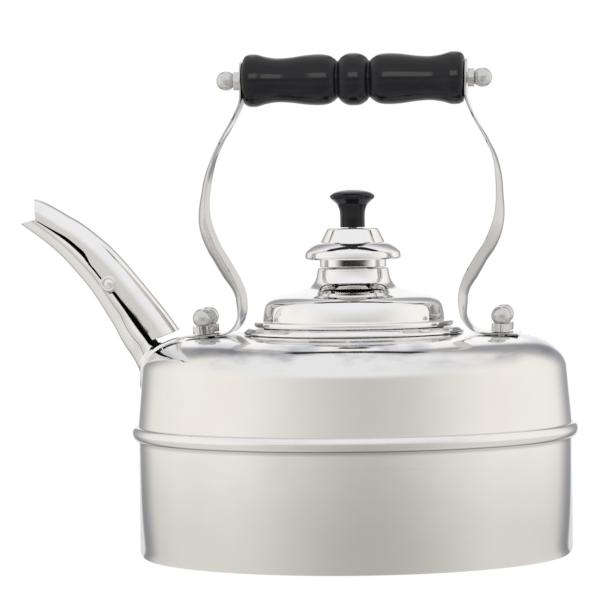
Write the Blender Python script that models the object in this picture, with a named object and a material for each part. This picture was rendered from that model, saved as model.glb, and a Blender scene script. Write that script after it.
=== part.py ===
"""Stovetop tea kettle with a rocking spout cover, a lift-off lid and a sprung strap handle.

Metres, +Z up. The origin is the centre of the flat base, the spout points along -X,
the handle straps stand on the left (-X) and right (+X) of the lid.
"""

import math

import bmesh
import bpy
from mathutils import Vector

# Fits between pieces
TOUCH_GAP = 0.0003
OVERRUN = 0.002
EAR_INSET = 0.00003

# Facets of round pieces
SHELL_STEPS = 44
LID_STEPS = 28
GRIP_STEPS = 18
SMALL_STEPS = 12
TUBE_STEPS = 14

# Lower drum
DRUM_RADIUS = 0.1001
DRUM_WALL = 0.0010
DRUM_CORNER = 0.0032
CORNER_POINTS = 4

# Seam between the halves of the body
SEAM_HEIGHT = 0.0577
SEAM_FLANGE_REACH = 0.0015
SEAM_FLANGE_THICKNESS = 0.0010
BEAD_HEIGHT = 0.0067
BEAD_REACH = 0.0026
BEAD_POINTS = 5
BEAD_SQUARENESS = 0.7
BEAD_SLOT_EASE = 0.00045

# Upper shell
UPPER_STAND_OUT = 0.0004
UPPER_WALL = 0.0010
UPPER_TAPER = 0.0024
SHOULDER_HEIGHT = 0.0855
TOP_HEIGHT = 0.1026
PLATE_FALL = 0.0012
PLATE_SEAT_MARGIN = 0.0006
SHOULDER_WIDTH = 0.0241
SHOULDER_FULLNESS = 2.05
SHOULDER_POINTS = 8

# Lid collar
COLLAR_BASE_RADIUS = 0.0509
COLLAR_TOP_RADIUS = 0.0485
COLLAR_HEIGHT = 0.0027
COLLAR_WALL = 0.0010
COLLAR_SPIGOT_DEPTH = 0.0040
COLLAR_EDGE_SHARE = 0.25
SKIRT_CLEARANCE = 0.0008

# Lid
LID_RIM_RADIUS = 0.0460
LID_RIM_HEIGHT = 0.0026
LID_RIM_EDGE = 0.0006
LID_WALL = 0.0009
LID_WALL_RADIUS = 0.0420
LID_STEP_HEIGHT = 0.0029
LID_RISE = 0.0271
NECK_RADIUS = 0.0164
NECK_CORNER = 0.0008
# the dome's line from the step to the neck: shares of wall radius less neck radius,
# and of the height from the step to the neck's top
DOME_SHARES = (
    (1.00, 0.000), (0.990, 0.105), (0.970, 0.220), (0.940, 0.310), (0.865, 0.390), (0.720, 0.463),
    (0.437, 0.537), (0.220, 0.610), (0.093, 0.690), (0.040, 0.770), (0.015, 0.860), (0.00, 0.970),
)
SKIRT_WALL = 0.0008
SKIRT_DEPTH = 0.0085
SKIRT_LAP = 0.0045

# Lid sleeve, cap and knob
SLEEVE_RADIUS = 0.01535
SLEEVE_WALL = 0.0030
SLEEVE_SHOW = 0.0036
SLEEVE_SEAT_DROP = 0.00165
CAP_BRIM_RADIUS = 0.0221
CAP_HEIGHT = 0.0144
CAP_WALL = 0.0009
CROWN_BASE_RADIUS = 0.0143
CROWN_TOP_RADIUS = 0.0116
# the cap's line from brim to crown: shares of the brim's reach past the crown, and of the height
BRIM_SHARES = (
    (0.94, 0.000), (1.00, 0.056), (0.99, 0.150), (0.94, 0.244), (0.69, 0.375), (0.35, 0.493), (0.06, 0.542),
)
KNOB_HEIGHT = 0.0173
KNOB_STEM_RADIUS = 0.0057
KNOB_RIM_RADIUS = 0.0103
# the knob's line upward: shares of the way from stem to rim, and of the knob's height
KNOB_SHARES = (
    (0.00, 0.00), (0.00, 0.30), (0.06, 0.46), (0.26, 0.60), (0.60, 0.69), (0.93, 0.765),
    (1.00, 0.81), (0.97, 0.855),
)
# the knob's domed top: shares of the rim's radius and of the height
KNOB_TOP_SHARES = ((0.78, 0.935), (0.42, 0.985), (0.00, 1.00))
KNOB_BORE_SHARE = 0.50

# Screws and washers
SCREW_RADIUS = 0.0020
SCREW_HEAD_RADIUS = 0.0040
SCREW_HEAD_HEIGHT = 0.0018
SCREW_END_CLEARANCE = 0.0010
SCREW_HEAD_TAPER_SHARE = 0.70
WASHER_RADIUS = 0.0050
WASHER_THICKNESS = 0.0008

# Handle grip, its rod and the ball nuts
GRIP_HEIGHT = 0.2199
GRIP_HALF_LENGTH = 0.0513
GRIP_SHIFT = 0.0014
GRIP_RADIUS = 0.0122
# half of the grip's turned line, middle to end: shares of half length and of radius
GRIP_SHARES = (
    (0.000, 0.992), (0.060, 0.965), (0.110, 0.850), (0.142, 0.700), (0.170, 0.790), (0.220, 0.915),
    (0.300, 0.966), (0.420, 0.945), (0.560, 0.868), (0.685, 0.836), (0.790, 0.893), (0.885, 1.000),
    (0.950, 0.985), (0.985, 0.900), (1.000, 0.760),
)
ROD_RADIUS = 0.0025
ROD_THREAD_LENGTH = 0.0050
NUT_CORNER_RADIUS = 0.00485
GRIP_NUT_HEIGHT = 0.0029
GRIP_BALL_RADIUS = 0.0045
FOOT_NUT_HEIGHT = 0.0036
FOOT_BALL_RADIUS = 0.0045
BALL_NECK_SHARE = 0.60
BALL_RINGS = 5
BALL_END_SHARE = 0.5
GRIP_NUT_TURNS = (25.0, 30.0)
FOOT_NUT_TURNS = (-16.0, 8.0, 6.0, -10.0)

# Handle straps
STRAP_THICKNESS = 0.0010
STRAP_TOP_RADIUS = 0.0088
STRAP_FOOT_TAIL = 0.0083
STRAP_STATIONS = 22
STRAP_ROWS = 6
STRAP_END_DIVISIONS = 4.4
FOOT_NUT_INSET = 0.0055
FOOT_NUT_Y = 0.0120
# each strap's path from the rod down to the foot: shares of the run from the strap's top out to
# the foot's nuts, and of the rise
LEFT_STRAP_SHARES = (
    (0.00, 1.00), (0.00, 0.925), (0.18, 0.855), (0.527, 0.760), (0.75, 0.680), (0.913, 0.560),
    (0.91, 0.460), (0.707, 0.365), (0.476, 0.300), (0.165, 0.210), (0.032, 0.140), (0.061, 0.065),
    (0.231, 0.018), (0.40, 0.0035), (0.56, 0.00), (0.80, 0.00),
)
RIGHT_STRAP_SHARES = (
    (0.00, 1.00), (0.00, 0.925), (0.192, 0.855), (0.565, 0.760), (0.807, 0.680), (0.882, 0.560),
    (0.817, 0.460), (0.551, 0.365), (0.234, 0.300), (-0.129, 0.210), (-0.253, 0.140), (-0.20, 0.065),
    (0.057, 0.018), (0.22, 0.0035), (0.38, 0.00), (0.70, 0.00),
)
# the strap's width and dish at chosen places on its path: shares of the path, the width, the dish
STRAP_WIDTH = 0.0340
STRAP_DISH = 0.0048
STRAP_FORM_SHARES = (
    (0.00, 0.50, 0.00), (0.12, 0.44, 0.00), (0.22, 0.40, 0.12), (0.36, 0.48, 0.45), (0.52, 0.60, 0.98),
    (0.64, 0.66, 1.00), (0.74, 0.72, 0.62), (0.84, 0.86, 0.15), (0.90, 1.00, 0.00), (1.00, 1.00, 0.00),
)

# Spout tube
TUBE_WALL = 0.0009
TUBE_ROOT_RADIUS = 0.0082
TUBE_TIP_RADIUS = 0.0046
# where the tube starts inside the shell, in from the wall and down from the top
ROOT_INSET = 0.0100
ROOT_DROP = 0.0181
# centre line of the tube from its root to the mouth, outward from the root and upward
TUBE_PATH = (
    (0.0, 0.0), (-0.0055, 0.0090), (-0.0123, 0.0186), (-0.0181, 0.0282), (-0.0246, 0.0380),
    (-0.0308, 0.0462), (-0.0367, 0.0529), (-0.0421, 0.0585), (-0.0500, 0.0652), (-0.0567, 0.0701),
)
# the tube's radius along its path: shares of the path and of the way from tip to root radius
TUBE_TAPER_SHARES = ((0.00, 1.00), (0.18, 0.60), (0.36, 0.36), (0.60, 0.20), (1.00, 0.00))
TUBE_STATIONS = 14
MOUTH_LIP = (-0.0648, 0.0703)
MOUTH_SLOPE = 16.0
FLANGE_WIDTH = 0.0035
FLANGE_INNER_REACH = 0.0073
FLANGE_HEIGHT = 0.0016
FLANGE_RISE = 0.0012
FLANGE_STATIONS = 5

# Spout cover and its pivot
PIVOT_OFFSET = (-0.0227, 0.0423)
COVER_WALL = 0.0009
COVER_REAR_HALF_WIDTH = 0.0088
COVER_NOSE_HALF_WIDTH = 0.0068
# the cover's top line from nose to rear, outward from the tube's root and upward
COVER_TOP_PATH = (
    (-0.0579, 0.0822), (-0.0537, 0.0806), (-0.0480, 0.0775), (-0.0423, 0.0741), (-0.0367, 0.0708),
    (-0.0299, 0.0656), (-0.0231, 0.0597), (-0.0169, 0.0532), (-0.0107, 0.0458), (-0.0039, 0.0375),
    (0.0029, 0.0290), (0.0090, 0.0204),
)
# how far the ends of the cover lean back toward its middle, for each length below the top line
NOSE_LEAN_SHARE = 0.48
REAR_LEAN_SHARE = 0.25
# the depth of the cover's cheeks below its top line: shares of the path and of the full depth
COVER_DEPTH = 0.0125
COVER_DEPTH_SHARES = (
    (0.00, 0.76), (0.10, 0.72), (0.22, 0.70), (0.36, 0.73), (0.47, 0.94), (0.54, 0.98), (0.60, 0.93),
    (0.74, 0.94), (0.92, 0.95), (1.00, 0.96),
)
COVER_STATIONS = 16
COVER_ROWS = 8
CROWN_SHARE = 0.90
EAR_STEPS = 20
EAR_RADIUS = 0.0042
EAR_THICKNESS = 0.0012
RIVET_RADIUS = 0.0014
RIVET_HEAD_RADIUS = 0.0036
RIVET_HEAD_HEIGHT = 0.0014
RIVET_DEPTH = 0.0012
BOSS_RADIUS = 0.0030
BOSS_LENGTH = 0.0036

# Whistle plates in the cover's nose
WHISTLE_THICKNESS = 0.0007
WHISTLE_HOLE_RADIUS = 0.0009
WHISTLE_PLACES_SHARES = (0.05, 0.11)
WHISTLE_DEPTH = 0.0046

# Leaf spring under the cover's rear
SPRING_THICKNESS = 0.0005
SPRING_WIDTH = 0.0050
# the spring's foot on the tube's path and the share of the cover's way where it meets the cover
SPRING_FOOT_SHARES = (0.44, 0.41, 0.38)
SPRING_BOW = 0.0012
SPRING_LIFT = 0.00045
SPRING_TIP_SHARE = 0.80
SPRING_STATIONS = 8

SEAM_TOP = SEAM_HEIGHT + TOUCH_GAP / 2
SEAM_BOTTOM = SEAM_HEIGHT - TOUCH_GAP / 2
UPPER_RADIUS = DRUM_RADIUS + UPPER_STAND_OUT
TOP_FLAT_RADIUS = UPPER_RADIUS - UPPER_TAPER - SHOULDER_WIDTH
PLATE_SEAT_RADIUS = COLLAR_BASE_RADIUS + PLATE_SEAT_MARGIN
PLATE_SLOPE = PLATE_FALL / (TOP_FLAT_RADIUS - PLATE_SEAT_RADIUS)
COLLAR_BOTTOM = TOP_HEIGHT + TOUCH_GAP
COLLAR_TOP = COLLAR_BOTTOM + COLLAR_HEIGHT
LID_BOTTOM = COLLAR_TOP + TOUCH_GAP
NECK_TOP = LID_BOTTOM + LID_RISE
SKIRT_RADIUS = LID_WALL_RADIUS - LID_WALL - TOUCH_GAP
COLLAR_BORE = SKIRT_RADIUS + SKIRT_CLEARANCE
SPIGOT_RADIUS = COLLAR_BORE + COLLAR_WALL
LID_OPENING_RADIUS = SPIGOT_RADIUS + TOUCH_GAP
SLEEVE_BOTTOM = NECK_TOP + TOUCH_GAP
CAP_BOTTOM = SLEEVE_BOTTOM + SLEEVE_SHOW
CAP_TOP = CAP_BOTTOM + CAP_HEIGHT
KNOB_BOTTOM = CAP_TOP + TOUCH_GAP
SCREW_HOLE_RADIUS = SCREW_RADIUS + TOUCH_GAP
FOOT_NUT_X = TOP_FLAT_RADIUS - FOOT_NUT_INSET
FOOT_TILT = math.atan(PLATE_SLOPE)
GRIP_END_X = GRIP_HALF_LENGTH + TOUCH_GAP
SPOUT_ROOT = Vector((ROOT_INSET - UPPER_RADIUS, TOP_HEIGHT - ROOT_DROP))
PIVOT = SPOUT_ROOT + Vector(PIVOT_OFFSET)
HALF_TURN = math.pi
FULL_TURN = 2 * math.pi


def clear_scene():
    """Remove whatever the scene holds."""
    for item in list(bpy.data.objects):
        bpy.data.objects.remove(item)


def make_material(name, colour, roughness, metallic):
    """A plain finish for one sub-part."""
    material = bpy.data.materials.new(name)
    material.use_nodes = True
    shader = material.node_tree.nodes["Principled BSDF"]
    shader.inputs["Base Color"].default_value = (*colour, 1.0)
    shader.inputs["Roughness"].default_value = roughness
    shader.inputs["Metallic"].default_value = metallic
    return material


def make_finishes():
    """Each finish on the kettle, by name."""
    return {
        "polished_body": make_material("polished_body", (0.78, 0.77, 0.76), 0.14, 1.0),
        "bright_chrome": make_material("bright_chrome", (0.86, 0.86, 0.87), 0.06, 1.0),
        "sprung_steel": make_material("sprung_steel", (0.80, 0.80, 0.80), 0.10, 1.0),
        "fixings": make_material("fixings", (0.62, 0.62, 0.60), 0.25, 1.0),
        "sealing": make_material("sealing", (0.20, 0.19, 0.18), 0.70, 0.0),
        "black_lacquer": make_material("black_lacquer", (0.010, 0.009, 0.012), 0.12, 0.0),
    }


def add_object(name, mesh, finish, parent=None):
    """Put a mesh into the scene under a name, with its finish."""
    item = bpy.data.objects.new(name, mesh)
    bpy.context.scene.collection.objects.link(item)
    mesh.materials.append(finish)
    if parent is not None:
        item.parent = parent
    return item


def add_empty(name, location):
    """An empty that carries the pieces of a moving group."""
    item = bpy.data.objects.new(name, None)
    bpy.context.scene.collection.objects.link(item)
    item.location = location
    return item


def smooth_path(points, count):
    """Points at even steps along a smooth curve through the given plan points."""
    dense = []
    last = len(points) - 1
    for index in range(last):
        before = Vector(points[max(index - 1, 0)])
        start = Vector(points[index])
        end = Vector(points[index + 1])
        after = Vector(points[min(index + 2, last)])
        for step in range(12):
            t = step / 12
            dense.append(0.5 * (
                2 * start + (end - before) * t
                + (2 * before - 5 * start + 4 * end - after) * t ** 2
                + (3 * start - before - 3 * end + after) * t ** 3
            ))
    dense.append(Vector(points[-1]))
    lengths = [0.0]
    for first, second in zip(dense, dense[1:]):
        lengths.append(lengths[-1] + (second - first).length)
    spaced = []
    place = 0
    for number in range(count):
        goal = lengths[-1] * number / (count - 1)
        while place < len(dense) - 2 and lengths[place + 1] < goal:
            place += 1
        part = (goal - lengths[place]) / (lengths[place + 1] - lengths[place])
        spaced.append(dense[place].lerp(dense[place + 1], part))
    return spaced


def side_directions(path):
    """The unit direction to the left of travel at each point of a plan path."""
    sides = []
    for index in range(len(path)):
        ahead = path[min(index + 1, len(path) - 1)] - path[max(index - 1, 0)]
        sides.append(Vector((-ahead.y, ahead.x)).normalized())
    return sides


def share_between(table, place, column=1):
    """Read a table of shares at a place, eased between its rows."""
    for low, high in zip(table, table[1:]):
        if place <= high[0]:
            part = (place - low[0]) / (high[0] - low[0])
            eased = part * part * (3 - 2 * part)
            return low[column] + (high[column] - low[column]) * eased
    return table[-1][column]


def arc(centre_r, centre_z, radius, start, end, count):
    """Profile points on an arc, the angles in degrees from +X."""
    points = []
    for number in range(count):
        angle = math.radians(start + (end - start) * number / (count - 1))
        points.append((centre_r + radius * math.cos(angle), centre_z + radius * math.sin(angle)))
    return points


def offset_inward(line, wall):
    """The inner side of a sheet whose outer line runs from top to bottom."""
    inner = []
    for index, (r, z) in enumerate(line):
        normals = []
        for first, second in ((index - 1, index), (index, index + 1)):
            if 0 <= first and second < len(line):
                along = Vector(line[second]) - Vector(line[first])
                normals.append(Vector((along.y, -along.x)).normalized())
        middle = sum(normals, Vector((0.0, 0.0))).normalized()
        reach = wall / max(middle.dot(normals[0]), 0.5)
        inner.append((r + middle.x * reach, z + middle.y * reach))
    return inner


def sheet_profile(outer, wall):
    """A closed profile of a pressed sheet from its outer line, top to bottom."""
    return outer + list(reversed(offset_inward(outer, wall)))


def turned(name, profile, steps, finish, parent=None, closed=True):
    """A piece turned about Z; the profile runs down the outer side and up the inner side."""
    mesh = bpy.data.meshes.new(name)
    points = [(r, 0.0, z) for r, z in profile]
    edges = [(index, index + 1) for index in range(len(points) - 1)]
    if closed:
        edges.append((len(points) - 1, 0))
    mesh.from_pydata(points, edges, [])
    item = add_object(name, mesh, finish, parent)
    screw = item.modifiers.new("turn", "SCREW")
    screw.angle = FULL_TURN
    screw.steps = steps
    screw.render_steps = steps
    screw.use_merge_vertices = True
    screw.merge_threshold = 0.00001
    screw.use_smooth_shade = True
    return item


def lofted(name, rings, finish, parent=None, looped=False):
    """A body drawn through rings of equal count, capped at both ends or closed on itself."""
    count = len(rings[0])
    points = [point for ring in rings for point in ring]
    faces = []
    pairs = len(rings) if looped else len(rings) - 1
    for row in range(pairs):
        for column in range(count):
            first = row * count
            second = ((row + 1) % len(rings)) * count
            after = (column + 1) % count
            faces.append((first + column, first + after, second + after, second + column))
    if not looped:
        faces.append(tuple(range(count)))
        faces.append(tuple(range(len(points) - count, len(points))))
    mesh = bpy.data.meshes.new(name)
    mesh.from_pydata(points, [], faces)
    shape = bmesh.new()
    shape.from_mesh(mesh)
    bmesh.ops.recalc_face_normals(shape, faces=shape.faces)
    shape.to_mesh(mesh)
    shape.free()
    mesh.set_sharp_from_angle(angle=math.radians(40))
    return add_object(name, mesh, finish, parent)


def hide_tool(item):
    """Mark an object as a cutter, which isn't a piece of the kettle."""
    item.hide_render = True
    item.display_type = "WIRE"


def combine(item, tool, operation):
    """Cut a piece with a tool, or join the tool to it."""
    hide_tool(tool)
    modifier = item.modifiers.new(operation.lower(), "BOOLEAN")
    modifier.operation = operation
    modifier.object = tool
    modifier.solver = "EXACT"


def peg(name, radius, length, centre, axis, finish, parent=None, steps=SMALL_STEPS):
    """A plain round tool lying along an axis."""
    mesh = bpy.data.meshes.new(name)
    shape = bmesh.new()
    turn = Vector((0, 0, 1)).rotation_difference(Vector(axis)).to_matrix().to_4x4()
    bmesh.ops.create_cone(
        shape, cap_ends=True, segments=steps, radius1=radius, radius2=radius, depth=length, matrix=turn)
    shape.to_mesh(mesh)
    shape.free()
    item = add_object(name, mesh, finish, parent)
    item.location = centre
    return item


def build_lower_drum(finishes):
    """The drawn pot: flat base, straight wall and the flange of the seam."""
    wall = DRUM_WALL
    flange = DRUM_RADIUS + SEAM_FLANGE_REACH
    outer = [(flange, SEAM_BOTTOM), (flange, SEAM_BOTTOM - SEAM_FLANGE_THICKNESS)]
    outer += [(DRUM_RADIUS, SEAM_BOTTOM - SEAM_FLANGE_THICKNESS)]
    corner = arc(DRUM_RADIUS - DRUM_CORNER, DRUM_CORNER, DRUM_CORNER, 0, -90, CORNER_POINTS)
    inner_corner = arc(
        DRUM_RADIUS - DRUM_CORNER, DRUM_CORNER, DRUM_CORNER - wall, -90, 0, CORNER_POINTS)
    profile = outer + corner + [(0.0, 0.0), (0.0, wall)] + inner_corner
    profile += [(DRUM_RADIUS - wall, SEAM_BOTTOM)]
    return turned("lower_drum", profile, SHELL_STEPS, finishes["polished_body"])


def shoulder_line():
    """The upper shell's outer line from the flat top down to the straight wall."""
    fall = PLATE_SLOPE * SHOULDER_WIDTH
    rise = TOP_HEIGHT - PLATE_FALL - SHOULDER_HEIGHT - fall
    power = 2 / SHOULDER_FULLNESS
    points = []
    for number in range(SHOULDER_POINTS):
        angle = HALF_TURN / 2 * (1 - number / (SHOULDER_POINTS - 1))
        across = abs(math.cos(angle)) ** power if number else 0.0
        up = abs(math.sin(angle)) ** power if number < SHOULDER_POINTS - 1 else 0.0
        height = SHOULDER_HEIGHT + rise * up + fall * (1 - across)
        points.append((TOP_FLAT_RADIUS + SHOULDER_WIDTH * across, height))
    return points


def plate_line(outward, upward):
    """The shell's outer line from the lid's collar to the straight wall, moved out and up."""
    line = [(PLATE_SEAT_RADIUS, TOP_HEIGHT)] + shoulder_line()
    return [(r + outward, z + upward) for r, z in line]


def foot_normal(side):
    """The direction off the sloping plate at a foot."""
    return (side * math.sin(FOOT_TILT), 0.0, math.cos(FOOT_TILT))


def foot_place(side, depth, lift):
    """A point on the line of a foot's screw, at a lift off the plate's outer face."""
    x = FOOT_NUT_X + lift * math.sin(FOOT_TILT)
    return (side * x, depth * FOOT_NUT_Y, plate_height(FOOT_NUT_X) + lift * math.cos(FOOT_TILT))


def plate_height(x):
    """The height of the plate's sloping face at a distance from the lid's axis."""
    return TOP_HEIGHT - (x - PLATE_SEAT_RADIUS) * PLATE_SLOPE


def build_upper_shell(finishes, tube_tool):
    """The upper half of the body, with its lid opening and its screw and spout holes."""
    flange = UPPER_RADIUS + SEAM_FLANGE_REACH
    under = SEAM_TOP + SEAM_FLANGE_THICKNESS
    sheet = [(LID_OPENING_RADIUS, TOP_HEIGHT)] + plate_line(0.0, 0.0) + [(UPPER_RADIUS, under)]
    inner = list(reversed(offset_inward(sheet, UPPER_WALL)))
    profile = sheet + [(flange, under), (flange, SEAM_TOP), (UPPER_RADIUS - UPPER_WALL, SEAM_TOP)]
    profile += inner[1:]
    shell = turned("upper_shell", profile, SHELL_STEPS, finishes["polished_body"])
    combine(shell, tube_tool, "DIFFERENCE")
    for side in (-1, 1):
        for depth in (-1, 1):
            tool = peg(
                "screw_hole_tool", SCREW_HOLE_RADIUS, UPPER_WALL + 2 * OVERRUN,
                foot_place(side, depth, -UPPER_WALL / 2), foot_normal(side), finishes["fixings"])
            combine(shell, tool, "DIFFERENCE")
    return shell


def build_seam_bead(finishes):
    """The half-round hoop that grips both flanges of the seam."""
    half = BEAD_HEIGHT / 2
    outer_radius = UPPER_RADIUS + BEAD_REACH
    slot_half = SEAM_FLANGE_THICKNESS + BEAD_SLOT_EASE
    slot_radius = UPPER_RADIUS + SEAM_FLANGE_REACH + TOUCH_GAP
    upper_bore = UPPER_RADIUS + TOUCH_GAP
    lower_bore = DRUM_RADIUS + TOUCH_GAP
    profile = []
    for number in range(BEAD_POINTS):
        angle = HALF_TURN / 2 - HALF_TURN * (number + 0.5) / BEAD_POINTS
        across = math.cos(angle) ** BEAD_SQUARENESS * (outer_radius - upper_bore)
        profile.append((upper_bore + across, SEAM_HEIGHT + half * math.sin(angle)))
    profile += [
        (lower_bore, SEAM_HEIGHT - half), (lower_bore, SEAM_HEIGHT - slot_half),
        (slot_radius, SEAM_HEIGHT - slot_half), (slot_radius, SEAM_HEIGHT + slot_half),
        (upper_bore, SEAM_HEIGHT + slot_half), (upper_bore, SEAM_HEIGHT + half),
    ]
    return turned("seam_bead", profile, SHELL_STEPS, finishes["polished_body"])


def build_lid_collar(finishes):
    """The sloping ring round the opening, with a spigot through the shell."""
    profile = [
        (COLLAR_TOP_RADIUS, COLLAR_TOP),
        (COLLAR_BASE_RADIUS, COLLAR_BOTTOM + COLLAR_HEIGHT * COLLAR_EDGE_SHARE),
        (COLLAR_BASE_RADIUS, COLLAR_BOTTOM), (SPIGOT_RADIUS, COLLAR_BOTTOM),
        (SPIGOT_RADIUS, COLLAR_BOTTOM - COLLAR_SPIGOT_DEPTH),
        (COLLAR_BORE, COLLAR_BOTTOM - COLLAR_SPIGOT_DEPTH), (COLLAR_BORE, COLLAR_TOP),
    ]
    return turned("lid_collar", profile, SHELL_STEPS, finishes["bright_chrome"])


def build_lid_dome(finishes, lid):
    """The stepped lid: rolled rim, dome and neck with a pierced top."""
    step = LID_BOTTOM + LID_STEP_HEIGHT
    reach = LID_WALL_RADIUS - NECK_RADIUS
    rise = NECK_TOP - step
    upward = [(NECK_RADIUS + reach * across, step + rise * up) for across, up in DOME_SHARES]
    line = [(SCREW_HOLE_RADIUS, NECK_TOP), (NECK_RADIUS - NECK_CORNER, NECK_TOP)]
    line += list(reversed(upward))
    inner = list(reversed(offset_inward(line, LID_WALL)))
    edge = LID_RIM_EDGE
    top = LID_BOTTOM + LID_RIM_HEIGHT
    rim = [
        (LID_RIM_RADIUS - edge, top), (LID_RIM_RADIUS, top - edge), (LID_RIM_RADIUS, LID_BOTTOM + edge),
        (LID_RIM_RADIUS - edge, LID_BOTTOM), (LID_WALL_RADIUS - LID_WALL, LID_BOTTOM),
    ]
    return turned("lid_dome", line + rim + inner, LID_STEPS, finishes["bright_chrome"], lid)


def build_lid_skirt(finishes, lid):
    """The ring under the lid that centres it in the collar."""
    top = LID_BOTTOM + SKIRT_LAP
    bottom = LID_BOTTOM - SKIRT_DEPTH
    bore = SKIRT_RADIUS - SKIRT_WALL
    profile = [(SKIRT_RADIUS, top), (SKIRT_RADIUS, bottom), (bore, bottom), (bore, top)]
    return turned("lid_skirt", profile, LID_STEPS, finishes["fixings"], lid)


def cap_line():
    """The cap's outer line from the screw hole down to the brim's edge."""
    reach = CAP_BRIM_RADIUS - CROWN_BASE_RADIUS
    upward = [
        (CROWN_BASE_RADIUS + reach * across, CAP_BOTTOM + CAP_HEIGHT * up) for across, up in BRIM_SHARES
    ]
    return [(SCREW_HOLE_RADIUS, CAP_TOP), (CROWN_TOP_RADIUS, CAP_TOP)] + list(reversed(upward))


def build_lid_top(finishes, lid):
    """The sleeve, cap, knob and the screw that holds them on the neck."""
    line = cap_line()
    turned("lid_cap", sheet_profile(line, CAP_WALL), LID_STEPS, finishes["bright_chrome"], lid)

    seat = CAP_BOTTOM + CAP_HEIGHT * BRIM_SHARES[-2][1] - SLEEVE_SEAT_DROP
    bore = SLEEVE_RADIUS - SLEEVE_WALL
    sleeve = [(SLEEVE_RADIUS, seat), (SLEEVE_RADIUS, SLEEVE_BOTTOM), (bore, SLEEVE_BOTTOM), (bore, seat)]
    turned("lid_sleeve", sleeve, LID_STEPS, finishes["bright_chrome"], lid)

    swell = KNOB_RIM_RADIUS - KNOB_STEM_RADIUS
    bore_top = KNOB_BOTTOM + KNOB_HEIGHT * KNOB_BORE_SHARE
    top = [(KNOB_RIM_RADIUS * across, KNOB_BOTTOM + KNOB_HEIGHT * up) for across, up in KNOB_TOP_SHARES]
    side = [
        (KNOB_STEM_RADIUS + swell * across, KNOB_BOTTOM + KNOB_HEIGHT * up) for across, up in KNOB_SHARES
    ]
    profile = list(reversed(top)) + list(reversed(side))
    profile += [(SCREW_HOLE_RADIUS, KNOB_BOTTOM), (SCREW_HOLE_RADIUS, bore_top), (0.0, bore_top)]
    turned("knob", profile, LID_STEPS, finishes["black_lacquer"], lid, closed=False)

    washer_top = NECK_TOP - LID_WALL - TOUCH_GAP
    build_washer("knob_washer", (0.0, 0.0, washer_top - WASHER_THICKNESS), finishes["fixings"], lid)
    head_top = washer_top - WASHER_THICKNESS - TOUCH_GAP
    build_screw(
        "knob_screw", (0.0, 0.0, head_top), bore_top - SCREW_END_CLEARANCE - head_top,
        finishes["fixings"], lid)


def build_washer(name, place, finish, parent=None):
    """A flat washer whose underside is at the place given."""
    profile = [
        (WASHER_RADIUS, WASHER_THICKNESS), (WASHER_RADIUS, 0.0),
        (SCREW_HOLE_RADIUS, 0.0), (SCREW_HOLE_RADIUS, WASHER_THICKNESS),
    ]
    washer = turned(name, profile, SMALL_STEPS, finish, parent)
    washer.location = place
    return washer


def build_screw(name, place, length, finish, parent=None):
    """A screw that stands on its head; the place is where shank and head meet."""
    head = SCREW_HEAD_RADIUS
    profile = [
        (0.0, length), (SCREW_RADIUS, length), (SCREW_RADIUS, 0.0), (head, 0.0),
        (head, -SCREW_HEAD_HEIGHT / 2), (head * SCREW_HEAD_TAPER_SHARE, -SCREW_HEAD_HEIGHT),
        (0.0, -SCREW_HEAD_HEIGHT),
    ]
    screw = turned(name, profile, SMALL_STEPS, finish, parent, closed=False)
    screw.location = place
    return screw


def hexagon_ring(corner_radius, height, turn):
    """Twelve points round a hexagon: its corners and the middles of its flats."""
    flat_radius = corner_radius * math.cos(HALF_TURN / 6)
    ring = []
    for number in range(12):
        angle = FULL_TURN * number / 12 + turn
        radius = flat_radius if number % 2 else corner_radius
        ring.append((radius * math.cos(angle), radius * math.sin(angle), height))
    return ring


def round_ring(radius, height, turn, count=12):
    """Points round a circle at a height."""
    ring = []
    for number in range(count):
        angle = FULL_TURN * number / count + turn
        ring.append((radius * math.cos(angle), radius * math.sin(angle), height))
    return ring


def build_ball_nut(name, hex_height, ball_radius, bore_radius, bore_depth, turn, finish):
    """A hexagon nut with a ball on top and a blind bore, standing on Z = 0."""
    turn = math.radians(turn)
    neck_radius = ball_radius * BALL_NECK_SHARE
    neck_drop = math.sqrt(ball_radius ** 2 - neck_radius ** 2)
    centre = hex_height + neck_drop
    rings = [
        round_ring(bore_radius, bore_depth, turn),
        round_ring(bore_radius, 0.0, turn),
        hexagon_ring(NUT_CORNER_RADIUS, 0.0, turn), hexagon_ring(NUT_CORNER_RADIUS, hex_height, turn),
        round_ring(neck_radius, hex_height, turn),
    ]
    start = math.acos(-neck_drop / ball_radius)
    for number in range(1, BALL_RINGS + 1):
        angle = start * (1 - number / (BALL_RINGS + BALL_END_SHARE))
        rings.append(round_ring(ball_radius * math.sin(angle), centre + ball_radius * math.cos(angle), turn))
    return lofted(name, rings, finish)


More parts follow.
